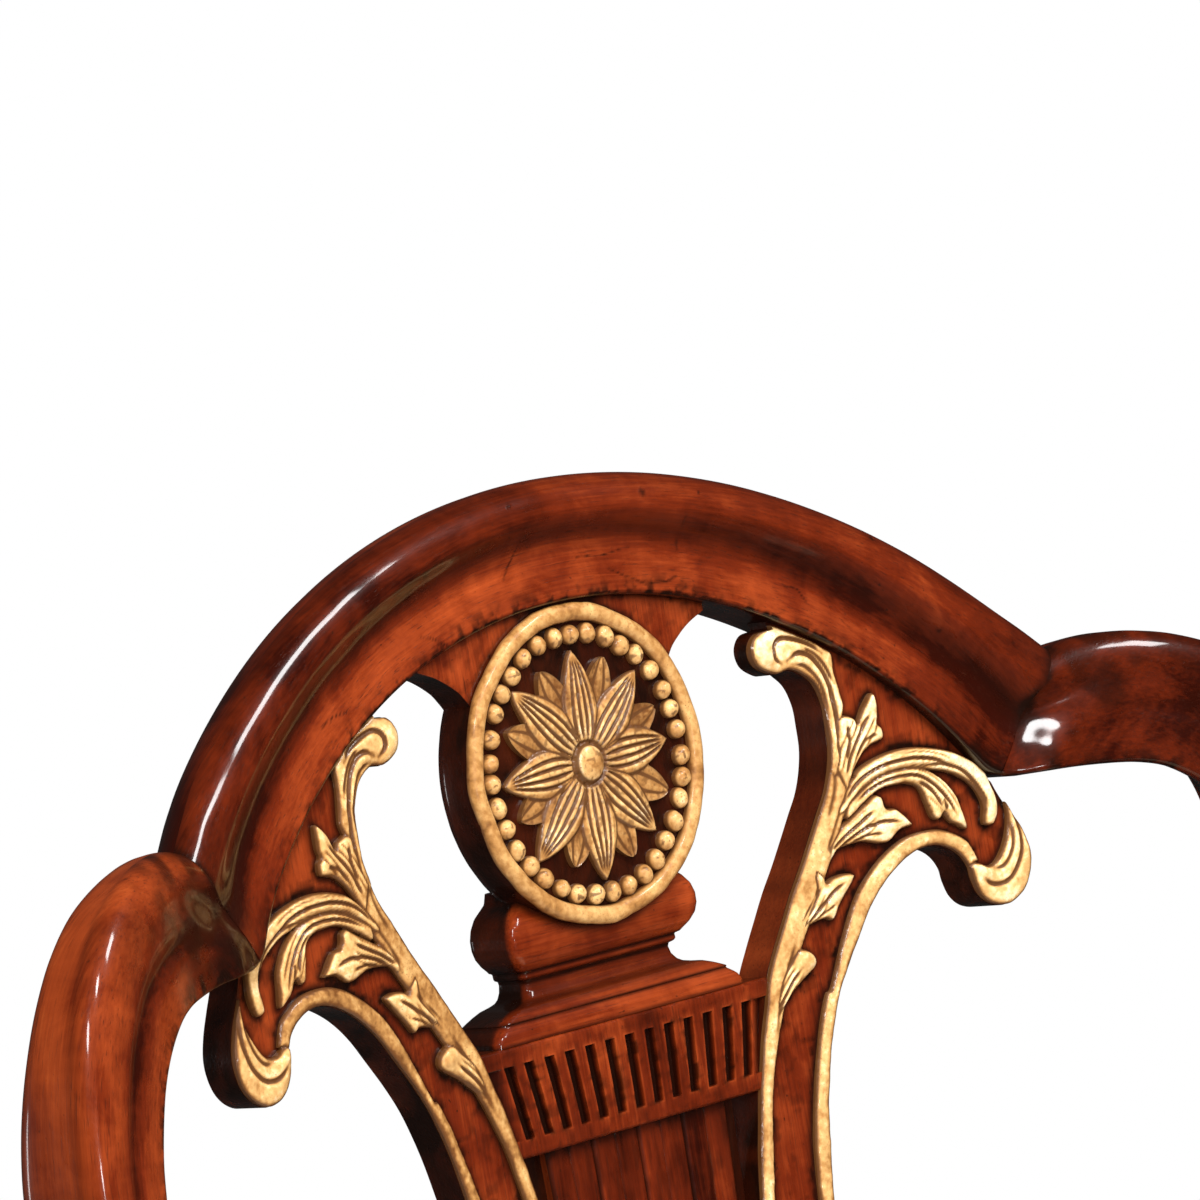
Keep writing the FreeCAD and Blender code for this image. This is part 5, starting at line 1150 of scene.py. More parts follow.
def flower_top(P, d):
    best = np.full(len(P), -9.0)
    second = best.copy()
    dirt = np.zeros(len(P))

    def put(m, h, grime):
        old = best[m]
        up = h > old
        second[m] = np.where(up, old, np.maximum(second[m], h))
        best[m] = np.where(up, h, old)
        x = dirt[m]
        x[up] = grime[up]
        dirt[m] = x

    for p in PETALS:
        di, x, y, half = petal_sdf(P, p)
        m = di > -0.3
        x, y, half, dq = x[m], y[m], np.maximum(half[m], 0.3), np.maximum(di[m], 0)
        t = np.clip((x - p[1]) / (p[2] - p[1]), 0, 1)
        s = y / half
        if p[4]:
            crown = 2.15 + 1.05 * np.sin(np.pi * np.clip(t * 0.95 + 0.05, 0, 1)) - 0.75 * sstep(0.75, 1.0, t)
            h = crown * (0.50 + 0.50 * np.sqrt(np.maximum(0, 1 - np.clip(np.abs(s), 0, 1) ** 2.6)))
            cut = np.zeros(len(x))
            for c in (-0.62, -0.22, 0.20, 0.60):
                gw = 0.68 * sstep(0.02, 0.25, t) * (1 - 0.35 * t)
                c2 = c * (1 - 0.25 * t)
                on = np.exp(-((y - c2 * half) / np.maximum(gw, 0.12)) ** 2) * sstep(0.02, 0.14, t) * sstep(0.95, 0.78, t)
                cut = np.maximum(cut, on)
            h = h - 1.05 * cut
            grime = np.maximum(cut * 0.98, np.exp(-(dq / 0.65) ** 2) * 0.72)
            grime = np.maximum(grime, np.exp(-(x - p[1]) / 4.0) * 0.55)
        else:
            fold = 0.55 - 0.85 * np.abs(s) + 1.15 * np.abs(s) ** 2.6
            h = 1.05 + 0.75 * fold + 0.35 * t
            grime = np.exp(-((np.abs(s) - 0.42) / 0.10) ** 2) * 0.95
            grime = np.maximum(grime, np.exp(-(dq / 0.5) ** 2) * 0.40)
            # painted shade at the base of each back petal, under the front petals
            grime = np.maximum(grime, 0.25 * (1 - t))
        put(m, h, grime)
    r = np.hypot(P[:, 0], P[:, 1])
    m = r < 7.3
    rb = r[m]
    h = np.where(rb < 6.1, 2.0 + 2.7 * np.sqrt(np.maximum(0, 1 - (rb / 6.2) ** 2)), 0.9)
    put(m, np.where(rb < 6.3, h, -9.0), np.clip(np.exp(-((rb - 6.4) / 0.8) ** 2), 0, 1))
    ring = np.exp(-((r - 7.0) / 0.75) ** 2)
    best = best - 0.9 * ring
    dirt = np.maximum(dirt, ring * 0.95)
    # painted shadow outlining each petal where it lies over another
    valley = np.exp(-((best - second) / 0.28) ** 2) * (second > -5)
    dirt = np.maximum(dirt, valley * 0.85)
    pits = sstep(0.66, 0.78, vnoise(P, 1.2, 77)) * 0.30
    dirt = np.maximum(dirt, pits)
    wob = (vnoise(P, 2.6, 75) - 0.5) * 0.22 + (vnoise(P, 1.0, 76) - 0.5) * 0.10
    dirt = np.clip(dirt + 0.22 * vnoise(P, 5.0, 78) + 0.02, 0, 1)
    # painted highlight: the higher parts paler
    hi = sstep(2.2, 3.8, best) * 0.34 * (1 - np.clip(dirt, 0, 1))
    return -2.9 + np.maximum(best, 0.25) + wob, np.clip(dirt, 0, 1), hi


plate(rosette, flower_sdf, flower_top, lambda P: np.full(len(P), -3.3), (-40.5, -40.5, 40.5, 40.5), 0.40, plane_grain, 0.9, 1, relief_shade=(9, 2.0, 2.2))
ros_ob = rosette.object("medallion_gilding", GILT, sharp=60)
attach(ros_ob, "frame")

# ------------------------------------------------------------------ moulded plinth
PL = np.array([  # v, half width, front n (mm)
    (-36.0, 33.0, -9.5), (-39.4, 34.2, -8.6), (-43.2, 39.4, -6.2), (-46.5, 41.7, -4.9), (-49.9, 42.75, -4.5), (-53.2, 42.7, -4.5), (-56.1, 41.8, -5.0),
    (-58.8, 39.8, -6.2), (-60.8, 37.6, -7.9), (-61.5, 37.0, -8.6), (-61.9, 35.9, -9.8), (-62.3, 35.6, -9.9), (-63.6, 35.5, -9.6), (-64.3, 35.1, -10.2),
    (-64.8, 33.8, -11.4), (-66.0, 33.5, -11.7), (-68.4, 34.0, -11.3), (-70.4, 35.2, -10.3), (-71.5, 36.8, -9.2), (-72.2, 39.5, -8.0), (-72.9, 43.7, -7.0),
    (-74.0, 47.0, -6.3), (-75.0, 49.5, -5.8), (-75.9, 51.6, -5.4), (-76.3, 52.4, -5.3), (-76.6, 52.2, -5.6), (-77.2, 52.5, -5.4), (-78.4, 54.2, -4.6), (-79.6, 55.6, -4.0),
    (-80.6, 56.2, -3.8), (-81.6, 56.8, -3.7), (-83.2, 57.0, -3.7)])
plinth = Shape()
prof = np.column_stack([np.interp(np.linspace(0, 1, 150), np.linspace(0, 1, len(PL)), PL[:, k]) for k in range(3)])
rings, grs, dirts = [], [], []
for v, hw, nf in prof:
    nb = -26.5
    rc = 3.0
    pts = []
    corner = [(hw - rc, nf - rc, 0), (-hw + rc, nf - rc, 90), (-hw + rc, nb + rc, 180), (hw - rc, nb + rc, 270)]
    # round the section, starting at the right front
    sec = []
    for cx, cn, a0 in corner:
        for t in np.linspace(0, 90, 7):
            a = math.radians(a0 + t)
            sec.append((cx + rc * math.cos(a), cn + rc * math.sin(a)))
    sec = even(np.array(sec), 180, closed=True)
    rings.append(back(sec[:, 0], np.full(len(sec), v), sec[:, 1]))
    grs.append(np.stack([sec[:, 0] * 1e-3, np.full(len(sec), v * 1e-3), sec[:, 1] * 1e-3], 1))
slope = np.gradient(prof[:, 2])
curve = np.abs(np.gradient(slope))
# painted shade in the grooves and the hollow of the moulding
low = np.array([np.exp(-((v + 62.0) / 1.0) ** 2) + np.exp(-((v + 65.2) / 1.1) ** 2) + 0.95 * np.exp(-((v + 76.5) / 0.8) ** 2) + 0.8 * np.exp(-((v + 83.2) / 1.0) ** 2)
                + 0.7 * np.exp(-((v + 72.0) / 2.0) ** 2) for v in prof[:, 0]])
rings = np.array(rings)
under = np.array([[0.0]])
PV = np.broadcast_to(prof[:, 0][:, None], rings.shape[:2])
PU = np.array(grs)[..., 0] * 1e3
edge_dark = np.exp(-(np.maximum(np.hypot(PU, PV) - 52.3, 0) / 2.0) ** 2) * 0.9 * (np.array(grs)[..., 2] > -0.02)
front_n = np.broadcast_to(prof[:, 2][:, None], rings.shape[:2])
left = sstep(1.6, 4.0, front_n - np.array(grs)[..., 2] * 1e3) * 0.93
hollow = np.array([0.35 * np.exp(-((v + 68.0) / 2.6) ** 2) for v in prof[:, 0]])
tube(plinth, rings, np.array(grs), np.clip((low * 0.95 + hollow)[:, None] + edge_dark + left, 0, 1), 0.06)
ob = plinth.object("lyre_plinth_moulded", WOOD, sharp=32)
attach(ob, "frame")
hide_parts("lyre_plinth")

# ------------------------------------------------------------------ fluted frieze
FT, FH, FN = -87.6 * SC, 36.0, -3.2
PITCH, FLW, FLH = 9.26, 4.6, 24.3
us = [-66.25, -65.9, -65.4]
for k in range(13):
    c = (k - 6) * PITCH
    us += [c - FLW / 2 - 1.2, c - FLW / 2 - 0.3, c - FLW / 2, c - FLW / 2 + 0.35, c - 0.9, c, c + 0.9, c + FLW / 2 - 0.35, c + FLW / 2, c + FLW / 2 + 0.3, c + FLW / 2 + 1.2]
us = np.array(sorted(us + [65.4, 65.9, 66.25]))
top_gap = (FH - FLH) / 2
vs = np.array([0, 0.25, 0.6, 1.1, 2.2, 3.5, top_gap - 0.8, top_gap - 0.3, top_gap, top_gap + 0.35] + list(np.linspace(top_gap + 1.2, top_gap + FLH - 1.2, 22))
              + [top_gap + FLH - 0.35, top_gap + FLH, top_gap + FLH + 0.3, top_gap + FLH + 0.8, FH - 3.2, FH - 2.0, FH - 1.0, FH - 0.5, FH - 0.2, FH])
U, V = np.meshgrid(us, vs, indexing="ij")
c = np.round(U / PITCH) * PITCH
dx = FLW / 2 - np.abs(U - c)
dy = np.minimum(V - top_gap, top_gap + FLH - V)
depth = sstep(0.0, 0.34, np.minimum(dx, dy)) * (2.5 + 0.5 * np.cos((U - c) / FLW * math.pi))
edge = np.minimum(V, FH - V)
lip = 1.1 * (1 - np.clip(edge / 1.1, 0, 1)) ** 2
scale = np.interp(V, [0, FH], [1.0, 0.885])
UU = U * scale
P2 = np.stack([UU.ravel(), V.ravel()], 1)
wob = ((vnoise(P2, 8.0, 101) - 0.5) * 0.22).reshape(U.shape)
N = FN - depth - lip + wob
mott = vnoise(P2, 2.0, 103).reshape(U.shape)
# painted shade in the flutes
dirt = sstep(0.05, 0.5, depth / 2.6) * (0.92 + 0.08 * mott)
around = np.exp(-(np.maximum(-np.minimum(dx, dy), 0) / 0.7) ** 2) * 0.40
dirt = np.maximum(dirt, around * sstep(0.35, 0.7, mott)) + sstep(0.64, 0.78, mott) * 0.35
dirt = np.maximum(dirt, 0.6 * np.exp(-((66.25 - np.abs(U)) / 2.0) ** 2))
frieze = Shape()
rows, cols = U.shape
gr = np.stack([-V, UU, N], -1) * 1e-3
deep = sstep(0.05, 0.5, depth / 2.6)
# painted shade in the flutes and painted highlight on the edges of the bars between them
tone = -0.22 + 0.32 * np.exp(-(np.maximum(-np.minimum(dx, dy), 0) / 0.8) ** 2) * (1 - deep) - 0.75 * deep
frieze.add(back(UU, FT - V, N).reshape(-1, 3), grid_quads(rows, cols)[:, ::-1], (), gr.reshape(-1, 3), np.clip(dirt, 0, 1).ravel(), tone.ravel())
# sides and back
loop = [(UU[i, 0], V[i, 0], N[i, 0]) for i in range(rows)] + [(UU[-1, j], V[-1, j], N[-1, j]) for j in range(1, cols)]
loop += [(UU[i, -1], V[i, -1], N[i, -1]) for i in range(rows - 2, -1, -1)] + [(UU[0, j], V[0, j], N[0, j]) for j in range(cols - 2, 0, -1)]
loop = np.array(loop)
rings, grs = [], []
for t in (0.0, 0.3, 0.7, 1.0):
    n = loop[:, 2] * (1 - t) + (FN - 19.0) * t
    rings.append(back(loop[:, 0], FT - loop[:, 1], n))
    grs.append(np.stack([loop[:, 0], -loop[:, 1], n], 1) * 1e-3)
tube(frieze, np.array(rings), np.array(grs), 0.80, caps=(False, True))
ob = frieze.object("lyre_frieze_fluted", WOOD, sharp=35)
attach(ob, "frame")
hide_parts("lyre_frieze")

# ------------------------------------------------------------------ strings of the lyre
SV0, SV1 = FT - FH, -400.0 * SC
us = np.linspace(-1, 1, 8 * 14 + 1)
vs = np.linspace(SV0, SV1, 160)
U, V = np.meshgrid(us, vs, indexing="ij")
half = np.interp(-V, [-SV0, -SV1], [43.5 * SC, 34.0 * SC])
UU = U * half
cell = (U * 4) - np.floor(U * 4 + 1e-9)
gap = np.minimum(cell, 1 - cell) * half / 4.0
joint = np.round(U * 4)
deep = np.where(np.mod(joint, 2) == 0, 1.0, 0.45)
groove = np.exp(-(gap / 0.55) ** 2) * deep
P2 = np.stack([UU.ravel(), V.ravel()], 1)
strip = np.floor(np.clip(U * 4, -4, 3.999))
level = np.array([0.0, -0.25, 0.1, -0.1, 0.15, -0.2, 0.05, -0.15])[(strip + 4).astype(int)]
N = -6.5 + level - 1.3 * groove + ((vnoise(P2, 18.0, 111) - 0.5) * 0.25).reshape(U.shape)
# painted shade in the grooves, a painted shadow under the frieze and darker sides next to the arms
dirt = np.clip(groove * 1.0 + 0.75 * np.exp(-((SV0 - V) / 3.0) ** 2) + sstep(0.6, 0.75, vnoise(P2 * [1, 0.15], 1.6, 112)).reshape(U.shape) * 0.35
               + 0.35 * np.exp(-((1 - np.abs(U)) * half / 5.0) ** 2), 0, 1)
strings = Shape()
gr = np.stack([V * 1e-3 + strip * 0.37, UU * 1e-3 + strip * 0.11, N * 1e-3], -1)
rows, cols = U.shape
strings.add(back(UU, V, N).reshape(-1, 3), grid_quads(rows, cols)[:, ::-1], (), gr.reshape(-1, 3), dirt.ravel(), -0.44)
# a dark-painted strip behind the strings' edges stands in for the shade in the gaps beside the arms
wing = []
for v in np.linspace(SV0 + 3.0, SV1, 60):
    hw = np.interp(-v, [-SV0, -SV1], [43.5 * SC, 34.0 * SC]) + 7.5
    sec = [(hw - 1.2, -10.5), (hw - 0.4, -10.8), (hw, -11.7), (hw, -13.6), (hw - 0.5, -14.6), (hw - 1.5, -15.0)]
    sec = sec + [(-a, b) for a, b in sec[::-1]]
    sec = even(np.array(sec), 72, closed=True)
    wing.append(np.column_stack([sec[:, 0], np.full(72, v), sec[:, 1]]))
wing = np.array(wing)
tube(strings, back(wing[..., 0], wing[..., 1], wing[..., 2]), wing[..., [1, 0, 2]] * 1e-3, 0.90, -0.30)
loop = [(UU[i, 0], V[i, 0], N[i, 0]) for i in range(rows)] + [(UU[-1, j], V[-1, j], N[-1, j]) for j in range(1, cols)]
loop += [(UU[i, -1], V[i, -1], N[i, -1]) for i in range(rows - 2, -1, -1)] + [(UU[0, j], V[0, j], N[0, j]) for j in range(cols - 2, 0, -1)]
loop = np.array(loop)
rings, grs = [], []
for t in (0.0, 0.5, 1.0):
    n = loop[:, 2] * (1 - t) + (-15.5) * t
    rings.append(back(loop[:, 0], loop[:, 1], n))
    grs.append(np.stack([loop[:, 1], loop[:, 0], n], 1) * 1e-3)
tube(strings, np.array(rings), np.array(grs), 0.55, caps=(False, True))
ob = strings.object("lyre_strings_reeded", WOOD, sharp=40)
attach(ob, "frame")
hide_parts("lyre_strings")

# ------------------------------------------------------------------ moulded foot of the lyre
base = Shape()
BASE = mm([(70, -400), (72, -402), (72.2, -404.5), (71.4, -407.5), (70, -409), (67, -409.8), (64.5, -411), (60, -414), (56.5, -417.5), (54.4, -421), (53.6, -425.5),
           (54, -430), (56.2, -434), (59, -436.8), (62, -438.6), (63.5, -439.2), (64.2, -440.6), (70, -441.8), (75, -443), (78, -444.6), (79.4, -447.5), (80, -452)])
prof = np.column_stack([np.interp(np.linspace(0, 1, 120), np.linspace(0, 1, len(BASE)), BASE[:, k]) for k in (0, 1)])
rings, grs = [], []
for hw, v in prof:
    nf, nb, rc = -0.30 * (76.0 - hw), -22.0, 2.5
    sec = []
    for cx, cn, a0 in ((hw - rc, nf - rc, 0), (-hw + rc, nf - rc, 90), (-hw + rc, nb + rc, 180), (hw - rc, nb + rc, 270)):
        for t in np.linspace(0, 90, 6):
            g = math.radians(a0 + t)
            sec.append((cx + rc * math.cos(g), cn + rc * math.sin(g)))
    sec = even(np.array(sec), 160, closed=True)
    rings.append(back(sec[:, 0], np.full(len(sec), v), sec[:, 1]))
    grs.append(np.stack([sec[:, 0], np.full(len(sec), v), sec[:, 1]], 1) * 1e-3)
# painted shade in the hollow and grooves of the foot moulding
hollow = np.exp(-((prof[:, 1] + 425 * SC) / 5.0) ** 2) * 0.35 + np.exp(-((prof[:, 1] + 410 * SC) / 0.9) ** 2) * 0.7 + np.exp(-((prof[:, 1] + 440.6 * SC) / 0.9) ** 2) * 0.7
tube(base, np.array(rings), np.array(grs), np.broadcast_to(hollow[:, None], (120, 160)))
ob = base.object("lyre_base_moulded", WOOD, sharp=35)
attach(ob, "frame")
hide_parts("lyre_base")

# ------------------------------------------------------------------ rear posts: the rail moulding runs down and dies out above the seat
POST_C = [(-440, 229.5, 39, 36.5), (-380, 240.5, 38.5, 42.5), (-320, 253, 38.5, 49), (-260, 265, 38.5, 55.5),
          (-200, 275, 38.5, 61.5), (-150, 281.6, 36.9, 66), (-120, 283.6, 35.4, 68.5), (JOINT_V, 284.2, 34.5, 69.7)]
SW, SN = [], []                                           # the same section with plain rounded corners
for k in range(16):
    t = k / 15.0
    if t < 0.5:
        SW.append(0.0)
        SN.append(EDGE_N + t / 0.5 * (-3.0 - EDGE_N))
    else:
        g = math.radians((t - 0.5) * 180)
        SW.append(3.0 / 40 * (1 - math.cos(g)))
        SN.append(-3.0 + 3.0 * math.sin(g))
for k in range(42):
    SW.append(3.0 / 40 + (1 - 6.0 / 40) * (k + 1) / 43.0)
    SN.append(0.0)
for k in range(1, 6):
    g = math.radians(90 * k / 5.0)
    SW.append(1 - 3.0 / 40 + 3.0 / 40 * math.sin(g))
    SN.append(-3.0 * (1 - math.cos(g)))
SW, SN = np.array(SW + list(TW[63:])), np.array(SN + list(TN[63:]))


def post_rows():
    """Corners of the post (outer front, inner front, outer back, inner back; mm) from the foot up, its share of moulding, and its length so far."""
    low, mid, up = [], [], []
    for z, shift, w, d in ((8, 58, 30, 31), (100, 31, 31.5, 34), (200, 13, 33.5, 38), (300, 3, 36, 43), (397, 0, 38, 48)):
        yc = 143.5 + shift
        low.append([(211 + w / 2, yc - d / 2, z), (211 - w / 2, yc - d / 2, z), (211 + w / 2, yc + d / 2, z), (211 - w / 2, yc + d / 2, z)])
    for z in (397, 423, 449, 475):
        mid.append([(230, 119.5, z), (192, 119.5, z), (230, 167.5, z), (192, 167.5, z)])
    up.append(mid[-1])
    bow = dict(CREST_BOW)
    f = np.array(CREST_BOW, float)
    n_in, n_out = np.interp(263.5, f[:, 0], f[:, 1]), np.interp(301.5, f[:, 0], f[:, 1])
    slope = (n_out - n_in) / 38.0
    for k, (v, uc, width, nf) in enumerate(POST_C):
        share = min(1.0, (k + 1) / 5.0)
        ui, uo = uc - width / 2, uc + width / 2
        ni, no = nf - share * slope * width / 2, nf + share * slope * width / 2
        depth = CREST_THICK + STILE_MORE + (1 - share) * 2.5
        if v == JOINT_V:
            ui, uo, ni, no, depth = 267.0, 301.5, crest_n(267.0 * SC) / SC, crest_n(301.5 * SC) / SC, CREST_THICK + STILE_MORE
        ring = [(uo, no * SC), (ui, ni * SC), (uo, no * SC - depth), (ui, ni * SC - depth)]
        up.append([tuple(back(u * SC, v * SC, n) * 1e3) for u, n in ring])
    parts = [spline(np.array(low).reshape(len(low), 12), 90), spline(np.array(mid).reshape(len(mid), 12), 16)[1:], spline(np.array(up).reshape(len(up), 12), 190)[1:]]
    rows = np.vstack(parts).reshape(-1, 4, 3)
    share = np.concatenate([np.zeros(90 + 15), sstep(0.10, 0.42, np.linspace(0, 1, 190)[1:])])
    return rows, share


POST_ROWS, POST_SHARE = post_rows()
for side, tag in ((1, "right"), (-1, "left")):
    post = Shape()
    rings, grs, dirts = [], [], []
    run = np.concatenate([[0], np.cumsum(np.linalg.norm(np.diff(POST_ROWS.mean(1), axis=0), axis=1))]) * 1e-3
    for row, share, l in zip(POST_ROWS, POST_SHARE, run):
        of_, if_, ob_, ib_ = row
        depth = np.linalg.norm(ob_ - of_)
        w = SW * (1 - share) + TW * share
        n = SN * (1 - share) + TN * share
        n = np.where(n > EDGE_N, n, EDGE_N + (n - EDGE_N) * (depth + EDGE_N) / (CREST_THICK + EDGE_N))
        q = -n / depth
        pts = of_ + (if_ - of_) * w[:, None] + ((ob_ - of_) * (1 - w)[:, None] + (ib_ - if_) * w[:, None]) * q[:, None]
        rings.append(pts * np.array([side, 1, 1]) * 1e-3)
        grs.append(np.stack([np.full(len(w), l + 2.1 + side), w * 0.04, n * 1e-3], 1))
        dirts.append(np.clip(TD * share * 0.6 + 0.05, 0, 1))
    dirts = np.array(dirts)
    flat = np.array(rings)
    mott = vnoise(flat.reshape(-1, 3) * 1e3, 9.0, 131).reshape(dirts.shape) * 0.6 + vnoise(flat.reshape(-1, 3) * 1e3, 3.0, 132).reshape(dirts.shape) * 0.4
    dirts = dirts + sstep(0.58, 0.74, mott) * 0.40
    dirts = dirts + np.exp(-((flat[..., 2] - 0.470) / 0.004) ** 2) * 0.5
    near = np.exp(-((run[-1] - run) / 0.09) ** 2)[:, None]          # the crest shoulder's tone, painted shade included, runs on into the post
    crest_tone = np.full_like(TW, -0.43) if side > 0 else 0.16 - 0.80 * np.exp(-((TW - 0.57) / 0.12) ** 2) - 0.14 * sstep(0.62, 0.76, TW)
    tube(post, flat, np.array(grs), np.clip(dirts, 0, 1), -0.15 * (1 - near) + crest_tone[None, :] * near)
    ob = post.object("rear_post_shaped_" + tag, WOOD, sharp=40)
    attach(ob, "frame")
    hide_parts("rear_post_" + tag)

# ------------------------------------------------------------------ arms with a rolled front end, and their supports
ARM_PATH = [(252, 170, 701.5, 31, 26), (254, 140, 704, 33, 26.5), (264.5, 80, 707, 38, 27), (281.5, 0, 704.5, 42, 27),
            (296, -80, 697, 44, 27), (304, -150, 688.5, 45, 27), (303.5, -205, 681.5, 44, 27), (301.5, -221, 679.6, 41, 26)]
SUP_PATH = [(0, 0, 413, 0), (0, 0, 440, 0), (0, 0, 470, 0), (1.5, -2, 505, 0.15), (7, -6, 560, 0.45), (11.5, -4, 615, 0.75), (12, 6, 655, 1), (12, 11, 690, 1)]


def side_x(y, inset=0.0):
    return 290.0 - 0.16267 * (y + 255.5) - inset * math.hypot(1.0, 0.16267)


def round_section(count, power_top, power_low):
    """A section with a crowned top and a flatter underside, unit half sizes."""
    a = np.linspace(0, 2 * math.pi, count, endpoint=False)
    c, s_ = np.cos(a), np.sin(a)
    p = np.where(s_ > 0, power_top, power_low)
    return np.sign(c) * np.abs(c) ** (2 / p), np.sign(s_) * np.abs(s_) ** (2 / p)


AX, AZ = round_section(72, 2.7, 4.0)
for side, tag in ((1, "right"), (-1, "left")):
    path = spline(np.array(ARM_PATH, float), 200)
    tan = np.gradient(path[:, :3], axis=0)
    tan /= np.linalg.norm(tan, axis=1)[:, None]
    ends = []
    for t in np.linspace(0.08, 1.0, 12):                  # rolled end
        g = t * math.pi / 2
        end = path[-1].copy()
        end[:3] = end[:3] + tan[-1] * 13.0 * math.sin(g)
        end[3:] = end[3:] * max(math.cos(g), 0.03)
        ends.append(end)
    full = np.vstack([path, ends])
    tans = np.vstack([tan, np.repeat(tan[-1:], len(ends), 0)])
    run = np.concatenate([[0], np.cumsum(np.linalg.norm(np.diff(full[:, :3], axis=0), axis=1))])
    arm = Shape()
    rings, grs, dirts = [], [], []
    for (x, y, z, w, h), t, l in zip(full, tans, run):
        across = np.cross(t, [0, 0, 1])
        across /= np.linalg.norm(across)
        up = np.cross(across, t)
        knuckle = 1.0 - 0.055 * sum(math.exp(-((l - q) / 1.6) ** 2) for q in (run[199] - 15, run[199] - 23))
        groove = np.exp(-((AX - 0.80) / 0.055) ** 2) + np.exp(-((AX + 0.80) / 0.055) ** 2)
        pz = AZ * h / 2 * knuckle - np.where(AZ > 0.2, groove * 0.9, 0.0)
        px = AX * w / 2 * knuckle
        pts = np.array([x, y, z]) + across * px[:, None] + up * pz[:, None]
        rings.append(pts * np.array([side, 1, 1]) * 1e-3)
        grs.append(np.stack([np.full(72, l * 1e-3 + 4.0 + side), AX * w / 2e3, AZ * h / 2e3], 1))
        # painted shade in the top grooves and knuckles and on the underside
        dirts.append(np.where(AZ > 0.2, groove * 0.6, 0.0) + (1 - knuckle) * 9 + np.where(AZ < -0.9, 0.25, 0.0))
    tube(arm, np.array(rings), np.array(grs), np.clip(np.array(dirts), 0, 1))
    ob = arm.object("arm_shaped_" + tag, WOOD, sharp=50)
    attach(ob, "frame")
    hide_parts("arm_" + tag)

    sup = Shape()
    cx = side_x(-148.0) + 17.0 * math.hypot(1.0, 0.16267)
    lowp = spline(np.array(SUP_PATH[:3], float), 24)
    upp = spline(np.array(SUP_PATH[2:], float), 110)[1:]
    rings, grs, dirts = [], [], []
    g = np.linspace(0, 2 * math.pi, 64, endpoint=False)
    for dx, dy, z, t in np.vstack([lowp, upp]):
        w, l = 34 - 4 * t, 40 - 8 * t
        yaw = math.radians(9.24) * (1 - 0.3 * t)
        lift = sstep(470, 520, z)
        e = 9.0 - 3.6 * lift
        qa = np.sign(np.cos(g)) * np.abs(np.cos(g)) ** (2 / e) * w / 2
        qb = np.sign(np.sin(g)) * np.abs(np.sin(g)) ** (2 / e) * l / 2
        hollow = (np.exp(-(qa / 5.0) ** 2) * (np.abs(qb) > l * 0.40) + np.exp(-(qb / 6.0) ** 2) * (np.abs(qa) > w * 0.40)) * lift * sstep(684, 660, z)
        qa, qb = qa * (1 - 0.07 * hollow), qb * (1 - 0.07 * hollow)
        px = cx + dx + qa * math.cos(yaw) - qb * math.sin(yaw)
        py = -148.0 + dy + qa * math.sin(yaw) + qb * math.cos(yaw)
        rings.append(np.stack([side * px, py, np.full(64, z)], 1) * 1e-3)
        grs.append(np.stack([np.full(64, z * 1e-3 + 6 + side), qa * 1e-3, qb * 1e-3], 1))
        # painted shade in bands where the support meets the arm and the seat rail
        dirts.append(np.full(64, 0.05 + 0.55 * math.exp(-((z - 678) / 5.0) ** 2) + 0.4 * math.exp(-((z - 414) / 3.0) ** 2)) + hollow * 0.25)
    tube(sup, np.array(rings), np.array(grs), np.clip(np.array(dirts), 0, 1))
    ob = sup.object("arm_support_shaped_" + tag, WOOD, sharp=50)
    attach(ob, "frame")
    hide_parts("arm_support_" + tag)

# ------------------------------------------------------------------ solids carried over, with worn edges
WOOD_X = mahogany("mahogany_rail_across", False, 0)
WOOD_Y = mahogany("mahogany_rail_deep", False, 1)
WOOD_Z = mahogany("mahogany_upright", False, 2)


def beech(name, along):
    k = Nodes(name)
    turn = k.new("ShaderNodeMapping")
    k.put(turn.inputs["Vector"], k.coords())
    turn.inputs["Rotation"].default_value = [(0, 0, 0), (0, 0, math.radians(-90)), (0, math.radians(90), 0)][along]
    gr = turn.outputs["Vector"]
    band = k.noise(k.scaled(gr, (5, 70, 70)), 1.0, 4.0, 0.6, 0.8)
    fleck = k.span(k.noise(k.scaled(gr, (160, 900, 900), (3, 1, 0)), 1.0, 2.0, 0.5, 0.0), 0.60, 0.70)
    colour = k.ramp(band, [(0.25, (0.36, 0.22, 0.105)), (0.55, (0.50, 0.33, 0.17)), (0.80, (0.60, 0.43, 0.25))])
    colour = k.mix(k.math("MULTIPLY", fleck, 0.5), colour, (0.24, 0.13, 0.06))
    k.put(k.bsdf.inputs["Base Color"], colour)
    k.put(k.bsdf.inputs["Roughness"], k.span(band, 0.2, 0.8, 0.55, 0.78, False))
    k.put(k.bsdf.inputs["Normal"], k.bump(k.math("ADD", k.math("MULTIPLY", fleck, -0.6), band), 0.0002, 0.6))
    return k.mat


def steel(name, tint, rust):
    k = Nodes(name)
    c = k.coords()
    a = k.noise(k.scaled(c, (300, 300, 300)), 1.0, 3.0, 0.6, 0.3)
    colour = k.ramp(a, [(0.3, tuple(0.6 * x for x in tint)), (0.7, tint)])
    colour = k.mix(k.math("MULTIPLY", k.span(a, 0.52, 0.70), rust), colour, (0.12, 0.055, 0.025))
    k.put(k.bsdf.inputs["Base Color"], colour)
    k.bsdf.inputs["Metallic"].default_value = 0.9
    k.put(k.bsdf.inputs["Roughness"], k.span(a, 0.3, 0.7, 0.30, 0.52, False))
    k.put(k.bsdf.inputs["Normal"], k.bump(a, 0.0001, 0.6))
    return k.mat


